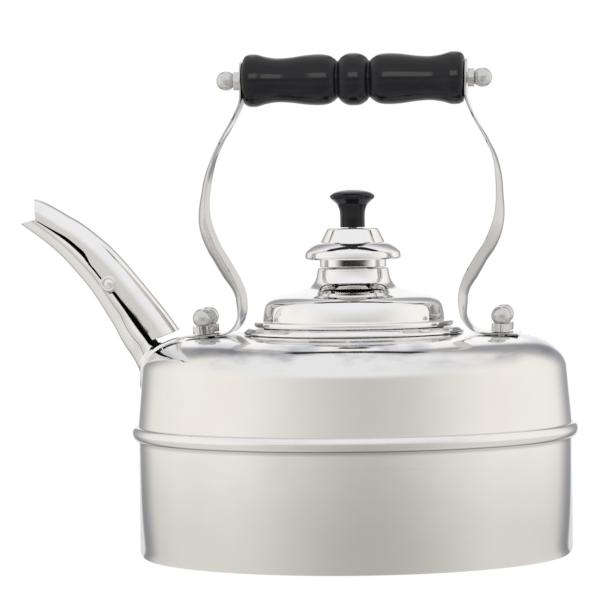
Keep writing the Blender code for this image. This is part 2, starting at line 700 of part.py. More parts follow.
def build_grip(finishes):
    """The turned grip, the rod through it and the ball nuts on the rod's ends."""
    half = [(across * GRIP_RADIUS, along * GRIP_HALF_LENGTH) for along, across in GRIP_SHARES]
    outer = list(reversed(half)) + [(radius, -along) for radius, along in half[1:]]
    bore = ROD_RADIUS + TOUCH_GAP
    profile = outer + [(bore, -GRIP_HALF_LENGTH), (bore, GRIP_HALF_LENGTH)]
    grip = turned("handle_grip", profile, GRIP_STEPS, finishes["black_lacquer"])
    grip.location = (GRIP_SHIFT, 0.0, GRIP_HEIGHT)
    grip.rotation_euler = (0.0, HALF_TURN / 2, 0.0)

    strap_outer = GRIP_END_X + STRAP_THICKNESS
    reach = strap_outer + ROD_THREAD_LENGTH
    rod_profile = [(0.0, reach), (ROD_RADIUS, reach), (ROD_RADIUS, -reach), (0.0, -reach)]
    rod = turned("grip_rod", rod_profile, SMALL_STEPS, finishes["fixings"], closed=False)
    rod.location = (GRIP_SHIFT, 0.0, GRIP_HEIGHT)
    rod.rotation_euler = (0.0, HALF_TURN / 2, 0.0)

    for word, side, turn in zip(("left", "right"), (-1, 1), GRIP_NUT_TURNS):
        nut = build_ball_nut(
            "grip_nut_" + word, GRIP_NUT_HEIGHT, GRIP_BALL_RADIUS, ROD_RADIUS + TOUCH_GAP,
            ROD_THREAD_LENGTH + TOUCH_GAP, turn, finishes["bright_chrome"])
        nut.location = (GRIP_SHIFT + side * (strap_outer + TOUCH_GAP), 0.0, GRIP_HEIGHT)
        nut.rotation_euler = (0.0, side * HALF_TURN / 2, 0.0)


def strap_path(top_x, shares):
    """A strap's path outward and up, from the rod down to the foot's end."""
    points = []
    for across, up in shares:
        x = top_x + (FOOT_NUT_X - top_x) * across
        low = plate_height(x) + TOUCH_GAP
        points.append((x, low + (GRIP_HEIGHT - low) * up))
    foot_end = FOOT_NUT_X + STRAP_FOOT_TAIL
    points.append((foot_end, plate_height(foot_end) + TOUCH_GAP))
    return smooth_path(points, STRAP_STATIONS)


def strap_ring(place, side, width, dish):
    """One closed section across the strap: its outer face, then its inner face."""
    ring = []
    for face, order in ((STRAP_THICKNESS, range(STRAP_ROWS + 1)), (0.0, range(STRAP_ROWS, -1, -1))):
        for row in order:
            across = 2 * row / STRAP_ROWS - 1
            depth = face + dish * (1 - across * across)
            point = place + side * depth
            ring.append((point.x, width / 2 * across, point.y))
    return ring


def build_strap(word, side, shares, finishes):
    """One S-curved strap with its rod hole and its two foot holes."""
    top_x = GRIP_END_X + side * GRIP_SHIFT
    path = strap_path(top_x, shares)
    directions = side_directions(path)
    rings = []
    for number in range(math.floor(STRAP_END_DIVISIONS), 0, -1):
        lift = STRAP_TOP_RADIUS * math.sin(HALF_TURN / 2 * number / STRAP_END_DIVISIONS)
        width = 2 * math.sqrt(STRAP_TOP_RADIUS ** 2 - lift ** 2)
        rings.append(strap_ring(Vector((top_x, GRIP_HEIGHT + lift)), Vector((1.0, 0.0)), width, 0.0))
    for number, (place, direction) in enumerate(zip(path, directions)):
        share = number / (len(path) - 1)
        width = STRAP_WIDTH * share_between(STRAP_FORM_SHARES, share)
        dish = STRAP_DISH * share_between(STRAP_FORM_SHARES, share, 2)
        width = max(width, 2 * STRAP_TOP_RADIUS) if number == 0 else width
        rings.append(strap_ring(place, direction, width, dish))
    turned_rings = [[(side * x, side * y, z) for x, y, z in ring] for ring in rings]
    strap = lofted("strap_" + word, turned_rings, finishes["sprung_steel"])

    length = STRAP_THICKNESS + 2 * OVERRUN
    rod_place = (side * (top_x + STRAP_THICKNESS / 2), 0.0, GRIP_HEIGHT)
    tool = peg("rod_hole_tool", ROD_RADIUS + TOUCH_GAP, length, rod_place, (1, 0, 0), finishes["fixings"])
    combine(strap, tool, "DIFFERENCE")
    for depth in (-1, 1):
        place = foot_place(side, depth, TOUCH_GAP + STRAP_THICKNESS / 2)
        tool = peg("foot_hole_tool", SCREW_HOLE_RADIUS, length, place, foot_normal(side), finishes["fixings"])
        combine(strap, tool, "DIFFERENCE")
    return strap


def build_foot_fixings(finishes):
    """At each foot: two ball nuts above the strap, a washer and a screw below the shell."""
    seat = TOUCH_GAP + STRAP_THICKNESS + TOUCH_GAP
    washer_bottom = -(UPPER_WALL + TOUCH_GAP + WASHER_THICKNESS)
    head_top = washer_bottom - TOUCH_GAP
    bore_depth = FOOT_NUT_HEIGHT
    shank = seat + bore_depth - SCREW_END_CLEARANCE - head_top
    places = [
        ("left_near", -1, -1), ("left_far", -1, 1), ("right_near", 1, -1), ("right_far", 1, 1),
    ]
    for (word, side, depth), turn in zip(places, FOOT_NUT_TURNS):
        nut = build_ball_nut(
            "foot_nut_" + word, FOOT_NUT_HEIGHT, FOOT_BALL_RADIUS, SCREW_HOLE_RADIUS, bore_depth,
            turn - 90.0, finishes["bright_chrome"])
        nut.location = foot_place(side, depth, seat)
        washer = build_washer(
            "foot_washer_" + word, foot_place(side, depth, washer_bottom), finishes["sealing"])
        screw = build_screw(
            "foot_screw_" + word, foot_place(side, depth, head_top), shank, finishes["fixings"])
        for piece in (nut, washer, screw):
            piece.rotation_euler = (0.0, side * FOOT_TILT, 0.0)


def spout_line(table, count):
    """A smooth line in X and height, from a table of places seen from the tube's root."""
    return smooth_path([tuple(SPOUT_ROOT + Vector(place)) for place in table], count)


def tube_rings(grow, path, directions, inner_reach=0.0):
    """Rings of the spout tube, grown or shrunk by a wall, with the side toward the lid reached out.

    The last ring lies on the slanted mouth.
    """
    rings = []
    last = len(path) - 1
    slope = math.radians(MOUTH_SLOPE)
    mouth_normal = Vector((-math.sin(slope), math.cos(slope)))
    lip = SPOUT_ROOT + Vector(MOUTH_LIP)
    for number, (place, direction) in enumerate(zip(path, directions)):
        share = share_between(TUBE_TAPER_SHARES, number / last)
        radius = TUBE_TIP_RADIUS + (TUBE_ROOT_RADIUS - TUBE_TIP_RADIUS) * share + grow
        ring = []
        for step in range(TUBE_STEPS):
            angle = FULL_TURN * step / TUBE_STEPS
            reach = radius + inner_reach * max(-math.cos(angle), 0.0)
            point = place + direction * (reach * math.cos(angle))
            if number == last:
                along = Vector((direction.y, -direction.x))
                gap = (lip - point).dot(mouth_normal)
                point = point + along * (gap / along.dot(mouth_normal))
            ring.append((point.x, radius * math.sin(angle), point.y))
        rings.append(ring)
    return rings


def tube_tool(name, finishes):
    """The space that the tube takes, with the touching gap all round, as a cutter."""
    path = spout_line(TUBE_PATH, TUBE_STATIONS)
    root = path[0] - path[1]
    path = [path[0] + root.normalized() * OVERRUN] + path[1:]
    tool = lofted(name, tube_rings(TOUCH_GAP, path, side_directions(path)), finishes["fixings"])
    hide_tool(tool)
    return tool


def build_spout(finishes):
    """The slim tube, open at both ends."""
    path = spout_line(TUBE_PATH, TUBE_STATIONS)
    directions = side_directions(path)
    rings = tube_rings(0.0, path, directions) + list(reversed(tube_rings(-TUBE_WALL, path, directions)))
    return lofted("spout_tube", rings, finishes["bright_chrome"], looped=True)


def build_spout_flange(finishes, cutter):
    """The ring that joins the tube to the shoulder, shaped to both."""
    path = spout_line(TUBE_PATH, TUBE_STATIONS)
    directions = side_directions(path)
    rings = tube_rings(FLANGE_WIDTH, path, directions, FLANGE_INNER_REACH)[:FLANGE_STATIONS]
    flange = lofted("spout_flange", rings, finishes["bright_chrome"])
    near_shell = [(0.0, TOP_HEIGHT + FLANGE_RISE)] + plate_line(FLANGE_HEIGHT, FLANGE_RISE)
    near_shell += [(UPPER_RADIUS + FLANGE_HEIGHT, SEAM_TOP), (0.0, SEAM_TOP)]
    skin = turned("flange_skin_tool", near_shell, SHELL_STEPS, finishes["fixings"], closed=False)
    combine(flange, skin, "INTERSECT")
    core = [(0.0, TOP_HEIGHT + TOUCH_GAP)] + plate_line(TOUCH_GAP, TOUCH_GAP)
    core += [(UPPER_RADIUS + TOUCH_GAP, SEAM_TOP - OVERRUN), (0.0, SEAM_TOP - OVERRUN)]
    body = turned("flange_body_tool", core, SHELL_STEPS, finishes["fixings"], closed=False)
    combine(flange, body, "DIFFERENCE")
    combine(flange, cutter, "DIFFERENCE")
    return flange


def cover_half_width(share):
    """Half of the cover's outside width at a share of its length from the nose."""
    return COVER_NOSE_HALF_WIDTH + (COVER_REAR_HALF_WIDTH - COVER_NOSE_HALF_WIDTH) * share


def channel_points(half_width, depth):
    """An upside-down U from one lower edge over the top to the other: across and down."""
    crown = min(half_width, depth * CROWN_SHARE)
    points = [(-half_width, depth)]
    for row in range(COVER_ROWS + 1):
        angle = HALF_TURN * (1 - row / COVER_ROWS)
        points.append((half_width * math.cos(angle), crown * (1 - math.sin(angle))))
    points.append((half_width, depth))
    return points


def crown_segment(half_width, depth):
    """The part of the U's round crown above a level cut at the depth given."""
    start = math.asin(1 - depth / half_width)
    points = []
    for row in range(COVER_ROWS + 1):
        angle = HALF_TURN - start - (HALF_TURN - 2 * start) * row / COVER_ROWS
        points.append((half_width * math.cos(angle), half_width * (1 - math.sin(angle))))
    return points


def cover_stations():
    """The cover's path, its downward directions and the shares along it."""
    path = spout_line(COVER_TOP_PATH, COVER_STATIONS)
    downs = [-direction for direction in side_directions(path)]
    shares = [number / (COVER_STATIONS - 1) for number in range(COVER_STATIONS)]
    return path, downs, shares


def relative(point, pivot):
    """A world point as seen from the pivot."""
    return (point[0] - pivot.x, point[1], point[2] - pivot.z)


def build_cover(finishes, cover, pivot):
    """The half-round channel with the two ears that it rocks on."""
    path, downs, shares = cover_stations()
    rings = []
    for place, down, share in zip(path, downs, shares):
        half = cover_half_width(share)
        depth = COVER_DEPTH * share_between(COVER_DEPTH_SHARES, share)
        lean = {0.0: NOSE_LEAN_SHARE, 1.0: -REAR_LEAN_SHARE}.get(share, 0.0)
        back = Vector((-down.y, down.x)) * lean
        outer = channel_points(half, depth)
        inner = channel_points(half - COVER_WALL, depth - COVER_WALL)
        ring = []
        for across, lower in outer + [(across, lower + COVER_WALL) for across, lower in reversed(inner)]:
            point = place + (down + back) * lower
            ring.append(relative((point.x, across, point.y), pivot))
        rings.append(ring)
    channel = lofted("spout_cover", rings, finishes["bright_chrome"], cover)
    half = cover_half_width(0.5)
    for word, depth in (("near", -1), ("far", 1)):
        ear_y = depth * (half - EAR_THICKNESS / 2 - EAR_INSET)
        ear = peg("ear_tool_" + word, EAR_RADIUS, EAR_THICKNESS, (0.0, ear_y, 0.0), (0, 1, 0),
                  finishes["bright_chrome"], cover, EAR_STEPS)
        combine(channel, ear, "UNION")
    for word, depth in (("near", -1), ("far", 1)):
        hole = peg("rivet_hole_tool_" + word, RIVET_RADIUS + TOUCH_GAP, EAR_THICKNESS + 2 * OVERRUN,
                   (0.0, depth * half, 0.0), (0, 1, 0), finishes["fixings"], cover)
        combine(channel, hole, "DIFFERENCE")
    return channel


def build_pivot(finishes, cutter):
    """Bosses on the tube's sides and the rivets through the cover's ears."""
    half = cover_half_width(0.5)
    boss_face = half - EAR_THICKNESS - EAR_INSET - TOUCH_GAP
    for word, depth in (("near", -1), ("far", 1)):
        boss = peg(
            "pivot_boss_" + word, BOSS_RADIUS, BOSS_LENGTH,
            (PIVOT.x, depth * (boss_face - BOSS_LENGTH / 2), PIVOT.y), (0, 1, 0), finishes["fixings"])
        combine(boss, cutter, "DIFFERENCE")
        bore = peg(
            "boss_bore_tool_" + word, RIVET_RADIUS + TOUCH_GAP, 2 * RIVET_DEPTH,
            (PIVOT.x, depth * boss_face, PIVOT.y), (0, 1, 0), finishes["fixings"])
        combine(boss, bore, "DIFFERENCE")
        head = RIVET_HEAD_RADIUS
        shank_end = boss_face - RIVET_DEPTH + TOUCH_GAP
        head_base = half + TOUCH_GAP
        profile = [(0.0, head_base + RIVET_HEAD_HEIGHT)]
        for number in range(1, 4):
            angle = HALF_TURN / 2 * (1 - number / 4)
            profile.append((head * math.cos(angle), head_base + RIVET_HEAD_HEIGHT * math.sin(angle)))
        profile += [
            (head, head_base), (RIVET_RADIUS, head_base), (RIVET_RADIUS, shank_end), (0.0, shank_end),
        ]
        rivet = turned("pivot_rivet_" + word, profile, SMALL_STEPS, finishes["bright_chrome"], closed=False)
        rivet.location = (PIVOT.x, 0.0, PIVOT.y)
        rivet.rotation_euler = (-depth * HALF_TURN / 2, 0.0, 0.0)


def build_whistle(finishes, cover, pivot):
    """Two pierced plates across the channel in the cover's nose."""
    path = spout_line(COVER_TOP_PATH, COVER_STATIONS * 4)
    sides = side_directions(path)
    for word, place_share in zip(("front", "back"), WHISTLE_PLACES_SHARES):
        index = round(place_share * (len(path) - 1))
        place = path[index]
        down = -sides[index]
        along = Vector((-down.y, down.x))
        half = cover_half_width(place_share) - COVER_WALL - TOUCH_GAP
        outline = crown_segment(half, WHISTLE_DEPTH)
        rings = []
        for shift in (-WHISTLE_THICKNESS / 2, WHISTLE_THICKNESS / 2):
            ring = []
            for across, lower in outline:
                point = place + down * (lower + COVER_WALL + TOUCH_GAP) + along * shift
                ring.append(relative((point.x, across, point.y), pivot))
            rings.append(ring)
        plate = lofted("whistle_" + word, rings, finishes["fixings"], cover)
        centre = place + down * (COVER_WALL + TOUCH_GAP + WHISTLE_DEPTH / 2)
        hole = peg(
            "whistle_hole_tool_" + word, WHISTLE_HOLE_RADIUS, WHISTLE_THICKNESS + 2 * OVERRUN,
            relative((centre.x, 0.0, centre.y), pivot), (along.x, 0, along.y), finishes["fixings"], cover)
        combine(plate, hole, "DIFFERENCE")


def tube_top(share_along):
    """A point on the tube's upper line and the direction away from the tube there."""
    path = spout_line(TUBE_PATH, TUBE_STATIONS * 4)
    index = round(share_along * (len(path) - 1))
    share = share_between(TUBE_TAPER_SHARES, index / (len(path) - 1))
    radius = TUBE_TIP_RADIUS + (TUBE_ROOT_RADIUS - TUBE_TIP_RADIUS) * share
    away = -side_directions(path)[index]
    if away.x < 0:
        away = -away
    return path[index] + away * radius, away


def build_spring(finishes):
    """The leaf spring between the tube and the underside of the cover's rear."""
    foot = []
    for share in SPRING_FOOT_SHARES:
        place, away = tube_top(share)
        foot.append(tuple(place + away * SPRING_LIFT))
    top, downs, _ = cover_stations()
    tip_index = round(SPRING_TIP_SHARE * (len(top) - 1))
    down = downs[tip_index]
    hollow = cover_half_width(SPRING_TIP_SHARE) - COVER_WALL
    crown_drop = hollow - math.sqrt(hollow ** 2 - (SPRING_WIDTH / 2) ** 2)
    below = COVER_WALL + TOUCH_GAP + SPRING_THICKNESS + crown_drop
    tip = top[tip_index] + down * below
    back = top[tip_index - 1] + downs[tip_index - 1] * below
    line = smooth_path(foot + [tuple(back + down * SPRING_BOW), tuple(tip)], SPRING_STATIONS)
    sides = side_directions(line)
    facing = 1 if sides[0].dot(away) > 0 else -1
    rings = []
    for place, side in zip(line, sides):
        over = place + side * facing * SPRING_THICKNESS
        half = SPRING_WIDTH / 2
        rings.append([
            (place.x, -half, place.y), (place.x, half, place.y),
            (over.x, half, over.y), (over.x, -half, over.y),
        ])
    return lofted("cover_spring", rings, finishes["sprung_steel"])


def main():
    """Build the kettle."""
    clear_scene()
    finishes = make_finishes()
    lid = add_empty("lid_carrier", (0.0, 0.0, 0.0))
    pivot = Vector((PIVOT.x, 0.0, PIVOT.y))
    cover = add_empty("cover_carrier", pivot)

    cutter = tube_tool("tube_space_tool", finishes)
    build_lower_drum(finishes)
    build_upper_shell(finishes, cutter)
    build_seam_bead(finishes)
    build_lid_collar(finishes)
    build_lid_dome(finishes, lid)
    build_lid_skirt(finishes, lid)
    build_lid_top(finishes, lid)
    build_grip(finishes)
    build_strap("left", -1, LEFT_STRAP_SHARES, finishes)
    build_strap("right", 1, RIGHT_STRAP_SHARES, finishes)
    build_foot_fixings(finishes)
    build_spout(finishes)
    build_spout_flange(finishes, cutter)
    build_cover(finishes, cover, pivot)
    build_pivot(finishes, cutter)
    build_whistle(finishes, cover, pivot)
    build_spring(finishes)


main()
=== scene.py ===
"""A polished stovetop kettle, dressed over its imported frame.

Metres, +Z up. The spout points along -X and the camera stands on the -Y side.
"""

import logging
import math
from collections.abc import Sequence
from dataclasses import dataclass, field
from enum import Enum

import bmesh
import bpy
from mathutils import Matrix, Vector


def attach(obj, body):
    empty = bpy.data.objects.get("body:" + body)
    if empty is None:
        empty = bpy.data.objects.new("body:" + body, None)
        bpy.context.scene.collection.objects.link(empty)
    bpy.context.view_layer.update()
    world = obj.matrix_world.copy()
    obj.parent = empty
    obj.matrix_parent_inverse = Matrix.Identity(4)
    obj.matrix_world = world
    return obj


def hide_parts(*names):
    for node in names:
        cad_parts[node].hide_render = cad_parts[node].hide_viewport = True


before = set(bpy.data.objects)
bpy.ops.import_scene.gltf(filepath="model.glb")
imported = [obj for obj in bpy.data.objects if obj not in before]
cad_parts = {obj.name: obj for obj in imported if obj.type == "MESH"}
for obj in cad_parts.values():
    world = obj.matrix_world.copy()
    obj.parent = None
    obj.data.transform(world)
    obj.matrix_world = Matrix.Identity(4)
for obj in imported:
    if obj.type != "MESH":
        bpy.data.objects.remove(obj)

Point = tuple[float, float]
Place = tuple[float, float, float]
Colour = tuple[float, float, float]

LOG = logging.getLogger("kettle")
FULL_TURN = 2 * math.pi
SEAM_HEIGHT = 0.0577
# painted shade: the gap and depth of the dark sheets set inside the spout and under its cover
SHADE_SKIN_GAP = 0.00004
SHADE_SKIN_DEPTH = 0.00012


class Body(Enum):
    """The moving bodies of the frame."""

    KETTLE = "kettle"
    LID = "lid"
    COVER = "cover"


class Slot(Enum):
    """The record's material slots, each named for pieces made here; nothing here reads them."""

    BODY = "body_chrome"
    BRIGHT = "bright_chrome"
    STRAP = "strap_chrome"
    GRIP = "grip_black"
    KNOB = "knob_black"


class Side(Enum):
    """The two sides of the kettle, along X."""

    LEFT = -1
    RIGHT = 1


class Wire:
    """One shader socket that Python's operators work on."""

    def __init__(self, sheet: "Sheet", socket: bpy.types.NodeSocket) -> None:
        """Hold a socket.

        Args:
            sheet: the node tree that the socket belongs to.
            socket: an output socket.
        """
        self.sheet = sheet
        self.socket = socket

    def work(self, operation: str, *values: "Wire | float") -> "Wire":
        """Add one Math node.

        Args:
            operation: the node's operation.
            values: its inputs, in order.

        Returns:
            The node's result.
        """
        return self.sheet.node("ShaderNodeMath", {"operation": operation}, dict(enumerate(values)))

    def __add__(self, other: "Wire | float") -> "Wire":
        """Self plus other."""
        return self.work("ADD", self, other)

    def __radd__(self, other: float) -> "Wire":
        """Other plus self."""
        return self.work("ADD", other, self)

    def __sub__(self, other: "Wire | float") -> "Wire":
        """Self less other."""
        return self.work("SUBTRACT", self, other)

    def __rsub__(self, other: float) -> "Wire":
        """Other less self."""
        return self.work("SUBTRACT", other, self)

    def __mul__(self, other: "Wire | float") -> "Wire":
        """Self times other."""
        return self.work("MULTIPLY", self, other)

    def __rmul__(self, other: float) -> "Wire":
        """Other times self."""
        return self.work("MULTIPLY", other, self)

    def __truediv__(self, other: "Wire | float") -> "Wire":
        """Self over other."""
        return self.work("DIVIDE", self, other)

    def __rtruediv__(self, other: float) -> "Wire":
        """Other over self."""
        return self.work("DIVIDE", other, self)

    def ramp(self, low: float, high: float) -> "Wire":
        """Self eased from 0 at low to 1 at high."""
        return self.sheet.node(
            "ShaderNodeMapRange", {"interpolation_type": "SMOOTHSTEP"},
            {"Value": self, "From Min": low, "From Max": high})


class Sheet:
    """The node tree of one material or of the world."""

    def __init__(self, owner: bpy.types.Material | bpy.types.World) -> None:
        """Empty the owner's tree and keep it.

        Args:
            owner: the material or world.
        """
        owner.use_nodes = True
        self.tree = owner.node_tree
        self.tree.nodes.clear()

    def node(
        self, kind: str, settings: dict | None = None, inputs: dict | None = None,
        output: int | str = 0,
    ) -> Wire:
        """Add any node.

        Args:
            kind: the node's type name.
            settings: its own settings.
            inputs: a value or a Wire for each socket, by number or name.
            output: which output to return, by number or name.

        Returns:
            That output.
        """
        made = self.tree.nodes.new(kind)
        for name, value in (settings or {}).items():
            setattr(made, name, value)
        for name, value in (inputs or {}).items():
            socket = made.inputs[name]
            if isinstance(value, Wire):
                self.tree.links.new(value.socket, socket)
            else:
                socket.default_value = value
        return Wire(self, made.outputs[output] if made.outputs else None)

    def blend(self, share: "Wire | float", first: "Wire | Colour", second: "Wire | Colour") -> Wire:
        """Mix two colours.

        Args:
            share: 0 for the first colour, 1 for the second.
            first: a colour or a Wire.
            second: a colour or a Wire.

        Returns:
            The mixed colour.
        """
        pair = [value if isinstance(value, Wire) else (*value, 1.0) for value in (first, second)]
        return self.node(
            "ShaderNodeMix", {"data_type": "RGBA"}, {0: share, 6: pair[0], 7: pair[1]}, output=2)

    def noise(self, place: Wire, scale: float, detail: float = 3.0, roughness: float = 0.5) -> Wire:
        """A noise value round 0.5 at a place."""
        return self.node(
            "ShaderNodeTexNoise", None,
            {"Vector": place, "Scale": scale, "Detail": detail, "Roughness": roughness})

    def stretched(self, place: Wire, scale: Place) -> Wire:
        """A place with each of its axes scaled."""
        return self.node("ShaderNodeVectorMath", {"operation": "MULTIPLY"}, {0: place, 1: scale})

    def object_place(self) -> Wire:
        """The surface's place in metres in its object."""
        return self.node("ShaderNodeTexCoord", output="Object")

    def parts_of(self, place: Wire) -> tuple[Wire, Wire, Wire]:
        """The three numbers of a vector."""
        first = self.node("ShaderNodeSeparateXYZ", None, {0: place})
        outputs = first.socket.node.outputs
        return tuple(Wire(self, outputs[number]) for number in range(3))

    def bump(self, height: Wire, distance: float, strength: float = 1.0) -> Wire:
        """A normal that follows a height in metres times the distance."""
        return self.node(
            "ShaderNodeBump", None, {"Height": height, "Distance": distance, "Strength": strength},
            output="Normal")

    def finish_with(self, shader: Wire) -> None:
        """Lead a shader to the material's output."""
        self.node("ShaderNodeOutputMaterial", None, {"Surface": shader})


def round_place(sheet: Sheet, twist: float = 0.06) -> tuple[Wire, Wire]:
    """Places for lines that run round a piece turned about Z.

    Args:
        sheet: the node tree.
        twist: how far the angle counts, in metres a radian.

    Returns:
        A vector of angle, radius and height, and the height alone.
    """
    x, y, z = sheet.parts_of(sheet.object_place())
    angle = x.work("ARCTAN2", y, x) * twist
    across = x.work("SQRT", x * x + y * y)
    place = sheet.node("ShaderNodeCombineXYZ", None, {0: angle, 1: across, 2: z})
    return place, z


@dataclass(frozen=True)
class PolishedBody:
    """The drum's soft hand-polished plate."""

    plate: Colour = (0.855, 0.845, 0.830)
    shade: Colour = (0.825, 0.810, 0.795)
    # painted shade: the colour that the plate darkens to in a band just under the hoop
    under_hoop_shade_tone: Colour = (0.42, 0.41, 0.40)
    # painted reflection: the bluish tone of sky-like wisps on the shoulder and top
    wisp_reflection_tone: Colour = (0.39, 0.40, 0.46)
    roughness: float = 0.095
    seam_height: float = SEAM_HEIGHT
    under_hoop_shade_top: Point = (0.0029, 0.0033)
    under_hoop_shade_foot: Point = (0.0038, 0.0054)
    reflection_wisp_heights: Point = (0.0885, 0.0955)
    line_scale: Place = (18.0, 900.0, 2600.0)
    smear_scale: Place = (40.0, 30.0, 160.0)
    drift_scale: Place = (30.0, 16.0, 90.0)
    relief_depth: float = 0.0006

    def make(self) -> bpy.types.Material:
        """Build the material.

        Returns:
            Warm plate with fine lines round it, cloudy polish, a rougher band under the hoop darkened with
            painted shade, and bluish wisps of painted reflection on top.
        """
        material = bpy.data.materials.new("polished_body")
        sheet = Sheet(material)
        place, height = round_place(sheet)
        cloud = sheet.noise(sheet.object_place(), 26.0, 4.0, 0.55)
        wide = sheet.noise(sheet.object_place(), 7.0, 2.0)
        lines = sheet.noise(sheet.stretched(place, self.line_scale), 1.0, 2.0, 0.6)
        smears = sheet.noise(sheet.stretched(place, self.smear_scale), 1.0, 3.0)
        below = self.seam_height - height
        # painted shade: a band just under the hoop's lower edge darkens, and is also a little rougher
        under_hoop_shade_and_dull = below.ramp(*self.under_hoop_shade_top) * (1 - below.ramp(*self.under_hoop_shade_foot))
        tone = sheet.blend(cloud.ramp(0.35, 0.75), self.plate, self.shade)
        tone = sheet.blend(under_hoop_shade_and_dull * 0.60, tone, self.under_hoop_shade_tone)
        # painted reflection: bluish wisps of noise laid on the shoulder and top plate
        drift = sheet.noise(sheet.stretched(sheet.object_place(), self.drift_scale), 1.0, 3.0, 0.55)
        painted_reflection_wisps = drift.ramp(0.44, 0.68) * height.ramp(*self.reflection_wisp_heights)
        tone = sheet.blend(painted_reflection_wisps * 0.90, tone, self.wisp_reflection_tone)
        rough = self.roughness + (cloud - 0.5) * 0.05 + (lines - 0.5) * 0.07 + under_hoop_shade_and_dull * 0.04
        rough = rough + smears.ramp(0.55, 0.8) * 0.03
        relief = wide * 0.9 + smears * 0.05 + lines * 0.012
        shader = sheet.node("ShaderNodeBsdfPrincipled", None, {
            "Base Color": tone, "Metallic": 1.0, "Roughness": rough,
            "Normal": sheet.bump(relief, self.relief_depth),
        })
        sheet.finish_with(shader)
        return material


@dataclass(frozen=True)
class BrightChrome:
    """Mirror plate with faint cloth marks, for lid, spout, hoop, straps and nuts."""

    name: str = "bright_chrome"
    plate: Colour = (0.90, 0.895, 0.89)
    roughness: float = 0.035
    ripple: float = 0.00012
    smudge: float = 0.045
    joint_height: float | None = None
    hazed: Colour = (0.80, 0.795, 0.79)
    # painted shade: the colour that the plate darkens to in the creases at a joint
    crease_shade_tone: Colour = (0.26, 0.25, 0.245)
    crease_shade_below: Point = (0.0022, 0.0030)
    crease_shade_above: Point = (0.0025, 0.0033)

    def make(self) -> bpy.types.Material:
        """Build the material.

        Returns:
            Mirror plate with patches of wiped haze, a very slight ripple and, at a joint, painted shade in
            the creases.
        """
        material = bpy.data.materials.new(self.name)
        sheet = Sheet(material)
        place = sheet.object_place()
        haze = sheet.noise(place, 60.0, 4.0, 0.6).ramp(0.48, 0.78)
        specks = sheet.noise(place, 1500.0, 1.0).ramp(0.70, 0.80)
        wave = sheet.noise(place, 42.0, 1.5)
        wiped = sheet.noise(sheet.stretched(place, (500.0, 500.0, 90.0)), 1.0, 2.0)
        tone = sheet.blend(haze * 0.5 + specks * 0.3, self.plate, self.hazed)
        if self.joint_height is not None:
            # painted shade: darker towards the hoop's lower and upper edges, where they meet the drum
            below = self.joint_height - sheet.parts_of(place)[2]
            crease_shade = below.ramp(*self.crease_shade_below) * 0.85
            crease_shade = crease_shade + (0.0 - below).ramp(*self.crease_shade_above) * 0.3
            tone = sheet.blend(crease_shade, tone, self.crease_shade_tone)
        rough = self.roughness + haze * self.smudge + wiped * 0.012 + specks * 0.05
        shader = sheet.node("ShaderNodeBsdfPrincipled", None, {
            "Base Color": tone, "Metallic": 1.0, "Roughness": rough,
            "Normal": sheet.bump(wave, self.ripple),
        })
        sheet.finish_with(shader)
        return material


@dataclass(frozen=True)
class BlackLacquer:
    """Turned wood under black gloss lacquer."""

    name: str = "grip_lacquer"
    black: Colour = (0.009, 0.008, 0.011)
    worn: Colour = (0.014, 0.013, 0.017)
    roughness: float = 0.11
    gloss: float = 0.25
    grain: Place = (30.0, 420.0, 420.0)

    def make(self) -> bpy.types.Material:
        """Build the material.

        Returns:
            Deep black with a trace of grain and fine handling marks in the gloss.
        """
        material = bpy.data.materials.new(self.name)
        sheet = Sheet(material)
        place = sheet.object_place()
        grain = sheet.noise(sheet.stretched(place, self.grain), 1.0, 4.0, 0.6)
        marks = sheet.noise(place, 190.0, 5.0, 0.65).ramp(0.5, 0.78)
        specks = sheet.noise(place, 1200.0, 1.0).ramp(0.68, 0.78)
        tone = sheet.blend(grain.ramp(0.4, 0.7) * 0.6 + marks * 0.4, self.black, self.worn)
        rough = self.roughness + marks * 0.06 + grain * 0.03 + specks * 0.08
        relief = grain * 0.05 + marks * 0.02
        shader = sheet.node("ShaderNodeBsdfPrincipled", None, {
            "Base Color": tone, "Roughness": rough, "IOR": 1.52,
            "Specular IOR Level": self.gloss,
            "Normal": sheet.bump(relief, 0.0002),
        })
        sheet.finish_with(shader)
        return material


@dataclass(frozen=True)
class PlainSteel:
    """Turned or rolled steel that isn't plated bright."""

    name: str = "plain_steel"
    steel: Colour = (0.60, 0.595, 0.58)
    dull: Colour = (0.43, 0.42, 0.40)
    roughness: float = 0.24
    lines: Place = (500.0, 500.0, 3000.0)

    def make(self) -> bpy.types.Material:
        """Build the material.

        Returns:
            Steel with tool lines and dull patches.
        """
        material = bpy.data.materials.new(self.name)
        sheet = Sheet(material)
        place = sheet.object_place()
        lines = sheet.noise(sheet.stretched(place, self.lines), 1.0, 2.0)
        patch = sheet.noise(place, 240.0, 4.0).ramp(0.4, 0.72)
        tone = sheet.blend(patch, self.steel, self.dull)
        rough = self.roughness + patch * 0.12 + (lines - 0.5) * 0.12
        shader = sheet.node("ShaderNodeBsdfPrincipled", None, {
            "Base Color": tone, "Metallic": 1.0, "Roughness": rough,
            "Normal": sheet.bump(lines, 0.00006),
        })
        sheet.finish_with(shader)
        return material


@dataclass(frozen=True)
class SealRubber:
    """Grey sealing washers."""

    grey: Colour = (0.19, 0.185, 0.175)
    bloom: Colour = (0.29, 0.28, 0.27)

    def make(self) -> bpy.types.Material:
        """Build the material.

        Returns:
            Matte rubber with a pale bloom and a fine moulded grain.
        """
        material = bpy.data.materials.new("seal_rubber")
        sheet = Sheet(material)
        place = sheet.object_place()
        bloom = sheet.noise(place, 320.0, 4.0).ramp(0.45, 0.75)
        grain = sheet.noise(place, 4200.0, 2.0)
        shader = sheet.node("ShaderNodeBsdfPrincipled", None, {
            "Base Color": sheet.blend(bloom, self.grey, self.bloom),
            "Roughness": 0.68 + bloom * 0.16,
            "Normal": sheet.bump(grain, 0.00008),
        })
        sheet.finish_with(shader)
        return material


